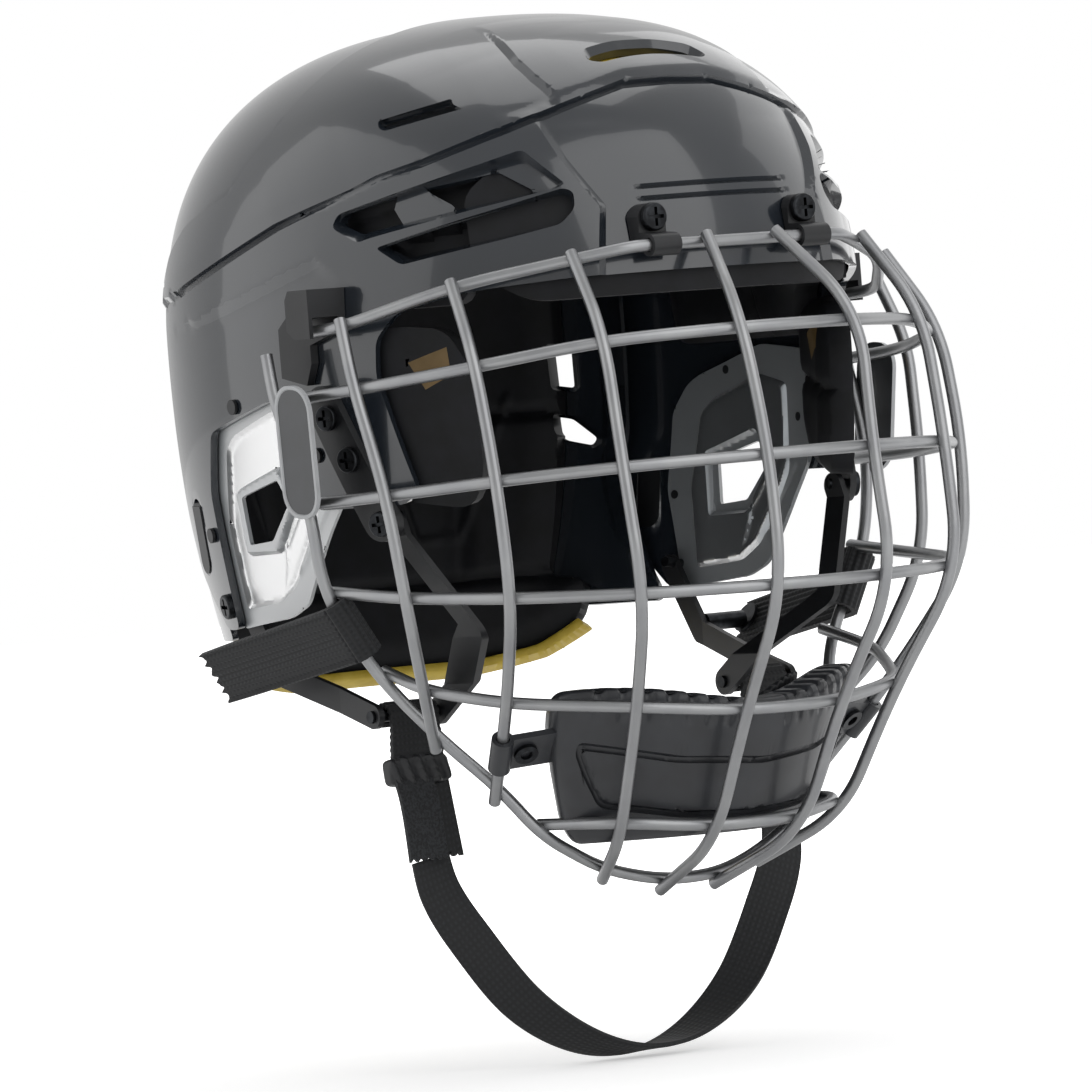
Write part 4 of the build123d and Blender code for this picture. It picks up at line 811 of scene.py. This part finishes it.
nape = foam_slab([(101, 36), (101, -98), (91, -99), (91, -113), (100, -121), (110, -124.5), (170, -124.5),
                  (170, 36)], SIDE_VIEW, REAR_LINER, 12.5,
                 ([(90, -41.5), (170, -41.5)], [(101, 8), (170, 2)], [(91, -96), (170, -100)],
                  [(118, -96), (126, -41)], [(140, -41), (133, 4)]), draw=3.5, holes=nape_vents, cell=1.2,
                 ridges=([(-19, -62), (-21.5, -71), (-23.5, -83.6), (-38.5, -82.2), (-41.6, -76.6),
                          (-48.9, -59.8), (-58.3, -35.9)],))
mirror_over(nape)
pad_piece(nape, "nape_cushion", "rear_pad", "rear")
trim = foam_slab([(90.7, -113.3), (99.7, -121.4), (109.8, -125), (170, -125), (170, -128), (109.2, -128),
                  (97.7, -123.7), (88.7, -115.6)], SIDE_VIEW, REAR_LINER, 12.5, draw=0.5, edge=1.2,
                 corner=0.8, cell=1.0)
mirror_over(trim)
pad_piece(trim, "nape_edge_strip", "rear_pad_trim", "rear", yellow_foam)

# %% [markdown]
# The chin cup is one moulded block with a soft top: higher at its ends than in the middle, with short
# slanting ridges behind the upper edge and a sunken bare panel in front. A grid wrapped round a rounded
# section, and closed at both ends, gives that form.

# %% Chin cup
CUP_ARCS = {"front": ((66, -66, -104), (52, -50, -83)), "back": ((58, -50, -82), (44, -38, -61))}
RIBS_FROM = 0.76


def cup_top(across):
    """Level of the cup's top along its width"""
    return -139.0 + 7.0 * sin(1.95 * across) ** 2


def cup_point(across, rise, outward, front, back, bottom, top):
    """Point of the cup: across from -1 to 1, rise from 0 to 1, outward from 0 behind to 1 in front"""
    ends = []
    for high, low in (front, back):
        half, side, middle = [l + (h - l) * rise for h, l in zip(high, low)]
        ends.append(Vector((half * across, middle + (side - middle) * across ** 2, 0)))
    point = ends[1] * (1 - outward) + ends[0] * outward
    point.z = bottom + (top(across) - bottom) * rise
    return point


def cup_form(front, back, ribs, columns=200, ring=120, power=0.42, bottom=-183.0, top=cup_top):
    """Closed block between two pairs of arcs, with a rounded section"""
    block = bmesh.new()
    bmesh.ops.create_grid(block, x_segments=columns, y_segments=ring, size=1.0)
    for vert in block.verts:
        across, turn = vert.co.x, vert.co.y * pi
        near_end = max((abs(across) - 0.9) / 0.1, 0)
        full = max(1 - near_end ** 2.4, 0) ** (1 / 2.4)
        outward = 0.5 + 0.5 * full * copysign(abs(cos(turn)) ** power, cos(turn))
        rise = 0.5 + 0.5 * full ** 0.8 * copysign(abs(sin(turn)) ** power, sin(turn))
        vert.co = cup_point(across, rise, outward, front, back, bottom, top)
        if 0.1 < abs(across) < 0.86 and 0.3 < outward and rise > RIBS_FROM:
            stripe = sin(across * 66 + copysign(rise * 9, across))
            sunk = ribs * max(stripe, 0) ** 0.6 * min((rise - RIBS_FROM) / 0.06, 1)
            vert.co.z -= sunk
            vert.co.y += sunk if outward > 0.8 else 0
    bmesh.ops.remove_doubles(block, verts=block.verts, dist=0.05)
    bmesh.ops.holes_fill(block, edges=[e for e in block.edges if e.is_boundary], sides=0)
    bmesh.ops.recalc_face_normals(block, faces=block.faces)
    return block


cup = cup_form(CUP_ARCS["front"], CUP_ARCS["back"], 1.1)
panel_left = [(0, -158.5), (28, -156), (55, -149), (55, -153), (52, -160), (46, -171.5), (24, -176.5),
              (0, -178)]
panel_right = [(-a, b) for a, b in panel_left]
panel = rounded(panel_right[2:0:-1] + panel_left + panel_right[6:2:-1], 3.0)
cut(cup, panel, FRONT_VIEW, 1.5)
score(cup, [(a, b, 1) for a, b in panel + panel[:1]], FRONT_VIEW, (-0.5, -1.9, -2.4))
panel_profile = [(0, 0), (0.5, 2.4), (1.9, 2.4), (2.4, 0.8), (60, 0.8)]
for vert in cup.verts:
    place = seen(vert.co, FRONT_VIEW)
    if vert.normal.y < -0.3 and inside(place, panel):
        vert.co.y += profile_height(to_line(place, panel), panel_profile)
chin_cup = to_object(cup, "chin_cup_block", cup_black, "cage", ("chin_cup",), sharp=40)
print("chin cup faces:", len(chin_cup.data.polygons))

# %% Foam inside the chin cup
inner_back = tuple((half - 8, side + 1, middle + 7) for half, side, middle in CUP_ARCS["back"])
inner_front = tuple((half - 6, side + 0.4, middle + 0.4) for half, side, middle in CUP_ARCS["back"])
cup_foam = cup_form(inner_front, inner_back, 0.8, 110, 48, 0.6, -181.5, lambda across: cup_top(across) - 1.5)
pad_piece(cup_foam, "chin_cup_cushion", "chin_cup_liner", "cage")

# %% [markdown]
# The ear covers are thin clear mouldings behind the shell's side openings. Their middle lies deeper than
# their border, a raised frame runs round the window, and two steps cross the lower front corner. The
# frosted surface scatters light, so borders and frames look brighter than the flat middle.

# %% Ear covers
COVER_INSET, COVER_WALL = 3.3, 1.4
cover_outline = rounded([(69, -45), (62, -36), (56, -33), (22, -24), (-6, -27), (-7, -64), (3, -76),
                         (20, -99), (31, -103), (64, -106), (72, -72)], 3.0)
cover_middle = rounded([(56, -46), (50, -41.5), (24, -34), (7, -38), (6.5, -68), (12, -76), (24, -92),
                        (34, -97.5), (58, -99.5), (61.5, -72)], 2.5)
window_frame = rounded([(53.5, -59.6), (25.5, -52.5), (17, -64), (31, -81.5), (51.5, -82)], 2.0)
window_hole = rounded([(48.7, -62), (26, -57), (21, -65), (33, -77), (47.4, -78)], 1.2)
steps_lower = rounded([(5, -62), (16, -78), (27, -91), (34, -95), (28, -80), (19, -70), (12, -60)], 1.0)
cover = patch(cover_outline, SIDE_VIEW, COVER_INSET, 0.8)
for outline in (cover_middle, window_frame, window_hole, steps_lower):
    cut(cover, outline, SIDE_VIEW)
hole = faces_in(cover, window_hole, SIDE_VIEW)
for face in cover.faces:
    place = seen(face.calc_center_median(), SIDE_VIEW)
    face.material_index = 1 if inside(place, window_frame) or not inside(place, cover_middle) else 0
ribs = ([(21.5, -66), (28.6, -75), (28.4, -84)], [(2, -67), (17.5, -84.5), (21.5, -88)])


def ramp(place, outline, width):
    """0 outside an outline, rising to 1 at a width inside it"""
    return min(to_line(place, outline) / width, 1) if inside(place, outline) else 0.0


for vert in cover.verts:
    place = seen(vert.co, SIDE_VIEW)
    low = -1.3 * ramp(place, cover_middle, 1.4) + 0.5 * ramp(place, steps_lower, 1.2)
    low += 0.6 * max(1 - min(to_line(place, rib, False) for rib in ribs) / 1.4, 0)
    frame_share = ramp(place, window_frame, 1.2)
    vert.co += form_normal(vert.co, COVER_INSET) * (low * (1 - frame_share) + 0.6 * frame_share)
bmesh.ops.delete(cover, geom=hole, context="FACES")
thicken(cover, COVER_WALL, COVER_INSET)
bmesh.ops.recalc_face_normals(cover, faces=cover.faces)
for name, shape in sides(cover):
    made = to_object(shape, "clear_ear_cover_" + name, frosted, "helmet", ("ear_cover_" + name,),
                     sharp=30)
    made.data.materials.append(frosted_rim)
print("ear cover faces:", len(made.data.polygons))

# %% [markdown]
# Straps are flat ribbons of webbing. Each follows rows that give a middle point, the way across and half
# the width, joined by a smooth curve. Ribs and cut ends are small moves of the same grid, and its UV map
# holds millimetres along and across, so the weave follows every bend.

# %% Ribbons
def smooth_row(rows, place):
    """Row between rows, on a Catmull-Rom curve"""
    k = min(int(place), len(rows) - 2)
    share = place - k
    four = [rows[min(max(k + step, 0), len(rows) - 1)] for step in (-1, 0, 1, 2)]
    blended = []
    for part in range(3):
        a, b, c, d = (row[part] for row in four)
        blended.append(b + (c - a) * 0.5 * share + (a * 2 - b * 5 + c * 4 - d) * 0.5 * share ** 2
                       + (b * 3 - a - c * 3 + d) * 0.5 * share ** 3)
    return blended


def ribbon(rows, thickness, along=8, columns=10, lift=None, ends=None):
    """Flat strap along rows, each a middle point, a way across and half a width"""
    strap = bmesh.new()
    sheet = strap.loops.layers.uv.new("weave")
    count = along * (len(rows) - 1)
    bmesh.ops.create_grid(strap, x_segments=count, y_segments=columns, size=1.0, calc_uvs=True)
    spots, lengths, total, last = {}, [], 0.0, None
    for k in range(count + 1):
        middle = smooth_row(rows, k / along)[0]
        total += (middle - last).length if last else 0.0
        last = middle
        lengths.append(total)
    for vert in strap.verts:
        step = min(max((vert.co.x + 1) / 2 * count, 0), count)
        side = vert.co.y
        middle, across, half = smooth_row(rows, step / along)
        ahead = smooth_row(rows, min(step / along + 0.05, len(rows) - 1.001))
        behind = smooth_row(rows, max(step / along - 0.05, 0))
        way = (ahead[0] - behind[0]).normalized()
        up = across.cross(way).normalized()
        length = lengths[int(round(step))]
        raised = lift(length, side * half, total) if lift else 0.0
        spots[vert] = (side * half, length, up)
        vert.co = middle + across.normalized() * side * half + up * raised
        if ends and (step < 0.5 or step > count - 0.5):
            vert.co += way * ends(side * half) * (1 if step > 1 else -1)
    for face in strap.faces:
        for loop in face.loops:
            loop[sheet].uv = (spots[loop.vert][0] * MM, spots[loop.vert][1] * MM)
    ups = {}
    for vert in sorted(strap.verts, key=lambda v: tuple(v.co)):
        ups[tuple(round(c, 5) for c in vert.co)] = spots[vert][2]
    made = bmesh.ops.extrude_face_region(strap, geom=strap.faces[:], use_keep_orig=True)["geom"]
    for vert in of_kind(made, bmesh.types.BMVert):
        vert.co -= ups[tuple(round(c, 5) for c in vert.co)] * thickness
    bmesh.ops.recalc_face_normals(strap, faces=strap.faces)
    return strap


def teeth(pitch, depth):
    """Zigzag of a heat-cut end"""
    return lambda side: depth * (1 - 2 * abs((side / pitch) % 1.0 - 0.5) * 2)


def strap_object(strap, name, body, stands_for=(), of=None):
    """Strap piece with softened edges"""
    made = to_object(strap, name, of or webbing, body, stands_for, sharp=50)
    edge = made.modifiers.new("edges", "BEVEL")
    edge.width, edge.segments, edge.limit_method, edge.angle_limit = 0.3 * MM, 2, "ANGLE", radians(60)
    return made


# %% Chin strap under the chin
lean = radians(8)
strap_up, strap_back = Vector((0, sin(lean), cos(lean))), Vector((0, cos(lean), -sin(lean)))
PIVOT_Y, PIVOT_Z, STRAP_DROP, STRAP_HALF, FLAT_REACH, BAR_X = 2, -137, 48.2, 7.5, 6.2, -72.5
half_route = [Vector((x, PIVOT_Y, PIVOT_Z)) + strap_up * (z - STRAP_DROP)
              for x, z in ((BAR_X, 0), (-70.5, -12), (-62.5, -27), (-45, -51), (-23, -66), (0, -71))]
route = half_route + [Vector((-p.x, p.y, p.z)) for p in reversed(half_route[:-1])]
rows, lengths = [], [0.0]
for start, end in zip(route, route[1:]):
    lengths.append(lengths[-1] + (end - start).length)
for k, point in enumerate(route):
    way = (route[min(k + 1, len(route) - 1)] - route[max(k - 1, 0)]).normalized()
    twist = pi * lengths[k] / lengths[-1]
    across = strap_back.cross(way).normalized()
    rows.append((point, across * cos(twist) + strap_back * sin(twist), STRAP_HALF))
chin = ribbon(rows, 1.5, 16, 10, lambda length, side, total: 0.75 - 0.25 * (abs(side) > FLAT_REACH))
strap_object(chin, "chin_strap_webbing", "chin_strap", ("chin_webbing",))
print("chin strap length:", round(lengths[-1]), "mm")

# %% Side straps from the cage to the ear loops
wire_root, wire_way = Vector((-103.7, -13.6, -106.8)), Vector((-0.509, 0.072, 0.857))
tip = Vector((-108.8, 58, -120.3))
strap_way = (tip - wire_root - wire_way * (tip - wire_root).dot(wire_way)).normalized()
outward = wire_way.cross(strap_way).normalized()
if outward.x > 0:
    outward = -outward
rows = []
for turn in (300, 270, 240, 210, 180, 150, 120, 95):
    a = radians(turn)
    rows.append((wire_root + (strap_way * cos(a) + outward * sin(a)) * 4.4, -wire_way, 10.5))
foot = wire_root + outward * 4.6
for share, half in ((0.06, 10.4), (0.25, 10.2), (0.5, 10.0), (0.75, 9.9), (0.98, 9.6)):
    rows.append((foot + (tip + outward * 1.2 - foot) * share, -wire_way, half))


def strap_ribs(length, side, total):
    """Ribs across the strap where it wraps the wire, then ridges along it"""
    if length < 16:
        return 0.25 * sin(length * 2 * pi / 1.9) + 1.0
    return 0.28 * cos(side * 2 * pi / 2.1) + 1.0 - 0.35 * (abs(side) > 9.2)


for name, shape in sides(ribbon(rows, 2.0, 10, 60, strap_ribs, teeth(3.6, 1.3))):
    strap_object(shape, "side_strap_band_" + name, "cage", ("side_strap_" + name,))

# %% [markdown]
# Below each bar hang a ribbed loop of webbing, a ribbed plastic slider and the folded tail of the strap:
# a fuzzy hook-and-loop tab lies over a second layer, and both end in a zigzag cut.

# %% Upper ends of the chin strap
bar = Vector((BAR_X, PIVOT_Y, PIVOT_Z))
ACROSS = Vector((1, 0, 0))
rows = []
for turn in (-60, -20, 20, 60, 100, 140, 180):
    a = radians(turn)
    rows.append((bar + (strap_back * cos(a) + strap_up * sin(a)) * 3.6, ACROSS, 9.5))
for back, down, half in ((3.2, 5, 9.6), (2.4, 10, 10.0), (1.6, 16, 10.2)):
    rows.append((bar - strap_back * back - strap_up * down, ACROSS, half))
loop_band = ribbon(rows, 1.8, 10, 10, lambda length, side, total: 0.3 * sin(length * 2 * pi / 2.2) + 1.0)
for name, shape in sides(loop_band):
    strap_object(shape, "strap_loop_" + name, "chin_strap", ("strap_tab_" + name,))


def block(width, height, depth, centre, wave, cuts=26):
    """Rounded block in the strap's leaning frame, with a wave over its front"""
    lump = bmesh.new()
    bmesh.ops.create_cube(lump, size=2.0)
    bmesh.ops.subdivide_edges(lump, edges=lump.edges[:], cuts=cuts, use_grid_fill=True)
    for vert in lump.verts:
        size = (abs(vert.co.x) ** 6 + abs(vert.co.y) ** 6 + abs(vert.co.z) ** 6) ** (1 / 6)
        a, b, c = vert.co / size
        push = wave(a, c) if b < -0.3 else 0.0
        vert.co = (centre + Vector((a * width / 2, 0, 0)) + strap_back * (b * depth / 2 - push)
                   + strap_up * (c * height / 2))
    bmesh.ops.recalc_face_normals(lump, faces=lump.faces)
    return lump


def slider_wave(a, c):
    """Slanting ribs on the front of a slider"""
    return 1.1 * max(cos((a + c * 0.12) * 4.6 * pi), 0) ** 0.7 - 0.3


for name, shape in sides(block(24, 9.5, 6.4, bar - strap_up * 18.9, slider_wave)):
    to_object(shape, "strap_slider_" + name, black_nylon, "chin_strap",
              ("strap_keepers",) if name == "right" else (), sharp=50)
front_rows = [(bar - strap_up * (22 + d) - strap_back * (2.2 + bulge) + Vector((-3.4 + d * 0.03, 0, 0)),
               ACROSS, 7.4) for d, bulge in ((0, 0), (5, 1.0), (12, 1.3), (20, 0.9), (26.5, 0.4))]
middle_rows = [(bar - strap_up * (21 + d) - strap_back * 0.5 + Vector((1.5, 0, 0)), ACROSS, 8.2)
               for d in (0, 7, 14, 21, 26.4)]
back_rows = [(bar - strap_up * (16 + d) + strap_back * 1.4 + Vector((4.4 + d * 0.05, 0, 0)), ACROSS, 8.0)
             for d in (0, 7, 14, 22, 32)]
for piece, rows, thickness, of in (("hook_tab", front_rows, 1.6, hook_tape),
                                   ("strap_fold", middle_rows, 1.3, webbing),
                                   ("strap_tail", back_rows, 1.5, webbing)):
    layer = ribbon(rows, thickness, 6, 16, lambda length, side, total: thickness / 2, teeth(3.0, 0.9))
    for name, shape in sides(layer):
        strap_object(shape, piece + "_" + name, "chin_strap",
                     ("strap_wraps",) if (piece, name) == ("hook_tab", "right") else (), of)

# %% [markdown]
# The oval plates on the side straps are bare here. Each is a flat stadium shape with a narrow raised rim.

# %% Bare label plates
PLATE_HALF_WIDTH, PLATE_HALF_LENGTH, PLATE_CORNER, PLATE_THICKNESS, MANY_CORNERS = 9.8, 21.8, 8.6, 1.5, 8
plate = bmesh.new()
bmesh.ops.create_grid(plate, x_segments=1, y_segments=1, size=1.0)
bmesh.ops.scale(plate, vec=(PLATE_HALF_WIDTH, PLATE_HALF_LENGTH, 1), verts=plate.verts)
bmesh.ops.bevel(plate, geom=plate.verts[:], offset=PLATE_CORNER, offset_type="OFFSET", segments=7,
                profile=0.5, affect="VERTICES", material=-1)
made = bmesh.ops.extrude_face_region(plate, geom=plate.faces[:], use_keep_orig=True)["geom"]
bmesh.ops.translate(plate, vec=(0, 0, PLATE_THICKNESS), verts=of_kind(made, bmesh.types.BMVert))
bmesh.ops.recalc_face_normals(plate, faces=plate.faces)
top = [f for f in plate.faces if f.normal.z > 0.9]
bmesh.ops.inset_region(plate, faces=top, thickness=1.1, depth=0.0, use_even_offset=True)
top = [f for f in plate.faces if f.normal.z > 0.9 and len(f.verts) > MANY_CORNERS]
bmesh.ops.inset_region(plate, faces=top, thickness=0.3, depth=-0.4, use_even_offset=True)
top = [f for f in plate.faces if f.normal.z > 0.9 and len(f.verts) > MANY_CORNERS]
# Rim faces take the second finish, a pale painted highlight; the top and the underside stay dark grey.
for face in plate.faces:
    face.material_index = 0 if face in top or face.normal.z < -0.9 else 1
bmesh.ops.triangulate(plate, faces=[f for f in plate.faces if len(f.verts) > MANY_CORNERS])
short_way, long_way = Vector((0, -1, -0.075)).normalized(), Vector((-0.075, -0.075, 0.994)).normalized()
turn = Matrix((short_way, long_way, Vector((-0.997, 0, -0.076)))).transposed().to_4x4()
bmesh.ops.transform(plate, matrix=Matrix.Translation((-118.7, -14.5, -48.3)) @ turn, verts=plate.verts)
bmesh.ops.recalc_face_normals(plate, faces=plate.faces)
for name, shape in sides(plate):
    made = to_object(shape, "bare_plate_" + name, plate_grey, "cage", ("label_plate_" + name,),
                     sharp=30)
    made.data.materials.append(painted_rim_highlight)

# %% [markdown]
# The studio is white: a pale floor with a soft shadow and broad lamps. Gloss and metal see a share of the
# white room, and the lamps give the shell its pale bands.

# %% Studio floor
FLOOR_GAP, FLOOR_SIZE, GLOSSY_SHARE = 0.0005, 6.0, 0.3
floor_white = bpy.data.materials.new("studio_floor")
floor_white.use_nodes = True
tree = floor_white.node_tree
plain = tree.nodes["Principled BSDF"]
plain.inputs["Base Color"].default_value = colour("#F4F4F4")
plain.inputs["Roughness"].default_value = 0.9
plain.inputs["Specular IOR Level"].default_value = 0.0


def seen_white(tree):
    """1 where the eye sees the background, also through clear plastic, and a share of it in gloss"""
    path = add_node(tree, "ShaderNodeLightPath")
    eye = add_node(tree, "ShaderNodeMath", {"operation": "MAXIMUM"})
    tree.links.new(path.outputs["Is Camera Ray"], eye.inputs[0])
    tree.links.new(path.outputs["Is Transmission Ray"], eye.inputs[1])
    gloss = add_node(tree, "ShaderNodeMath", {"operation": "MULTIPLY"})
    tree.links.new(path.outputs["Is Glossy Ray"], gloss.inputs[0])
    gloss.inputs[1].default_value = GLOSSY_SHARE
    both = add_node(tree, "ShaderNodeMath", {"operation": "MAXIMUM"})
    tree.links.new(eye.outputs["Value"], both.inputs[0])
    tree.links.new(gloss.outputs["Value"], both.inputs[1])
    return both.outputs["Value"]


lift = add_node(tree, "ShaderNodeMath", {"operation": "MULTIPLY"})
tree.links.new(seen_white(tree), lift.inputs[0])
from_middle = add_node(tree, "ShaderNodeVectorMath", {"operation": "LENGTH"},
                       {"Vector": add_node(tree, "ShaderNodeTexCoord").outputs["Object"]})
fade = add_node(tree, "ShaderNodeMapRange", {"interpolation_type": "SMOOTHSTEP"},
                {"Value": from_middle.outputs["Value"], "From Min": 0.3, "From Max": 0.9, "To Min": 0.42,
                 "To Max": 1.2})
tree.links.new(fade.outputs["Result"], lift.inputs[1])
plain.inputs["Emission Color"].default_value = (1, 1, 1, 1)
tree.links.new(lift.outputs["Value"], plain.inputs["Emission Strength"])
plane = bmesh.new()
bmesh.ops.create_grid(plane, x_segments=1, y_segments=1, size=FLOOR_SIZE)
floor_low = min(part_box(name)[0][2] for name in nodes)
bmesh.ops.translate(plane, vec=(0, 0, floor_low - FLOOR_GAP), verts=plane.verts)
mesh = bpy.data.meshes.new("studio_floor")
plane.to_mesh(mesh)
plane.free()
stage_floor = bpy.data.objects.new("studio_floor", mesh)
bpy.context.scene.collection.objects.link(stage_floor)
stage_floor.data.materials.append(floor_white)
print("floor at z =", round(floor_low, 4))

# %% Lamps and world
def soft_box(name, azimuth, elevation, wide, high, radiance, distance=2.2):
    """Soft box at an azimuth from the front to the helmet's right, as wide and high as seen in degrees"""
    data = bpy.data.lights.new(name, "AREA")
    data.shape = "RECTANGLE"
    data.size, data.size_y = 2 * distance * tan(radians(wide / 2)), 2 * distance * tan(radians(high / 2))
    data.energy = radiance * pi * data.size * data.size_y
    a, e = radians(azimuth), radians(elevation)
    made = bpy.data.objects.new(name, data)
    made.location = Vector((-sin(a) * cos(e), -cos(a) * cos(e), sin(e))) * distance
    made.rotation_euler = (-made.location).to_track_quat("-Z", "Y").to_euler()
    bpy.context.scene.collection.objects.link(made)


soft_box("right_box", 118, 20, 68, 60, 0.55)
soft_box("front_box", -4, 30, 60, 60, 1.0)
soft_box("top_box", 222, 68, 48, 44, 1.0)
soft_box("left_box", 258, 15, 60, 50, 0.5)
world = bpy.data.worlds.new("studio_world")
world.use_nodes = True
bpy.context.scene.world = world
tree = world.node_tree
background = tree.nodes["Background"]
background.inputs["Color"].default_value = (1, 1, 1, 1)
level = add_node(tree, "ShaderNodeMapRange", None,
                 {"Value": seen_white(tree), "To Min": 0.45, "To Max": 1.0})
tree.links.new(level.outputs["Result"], background.inputs["Strength"])
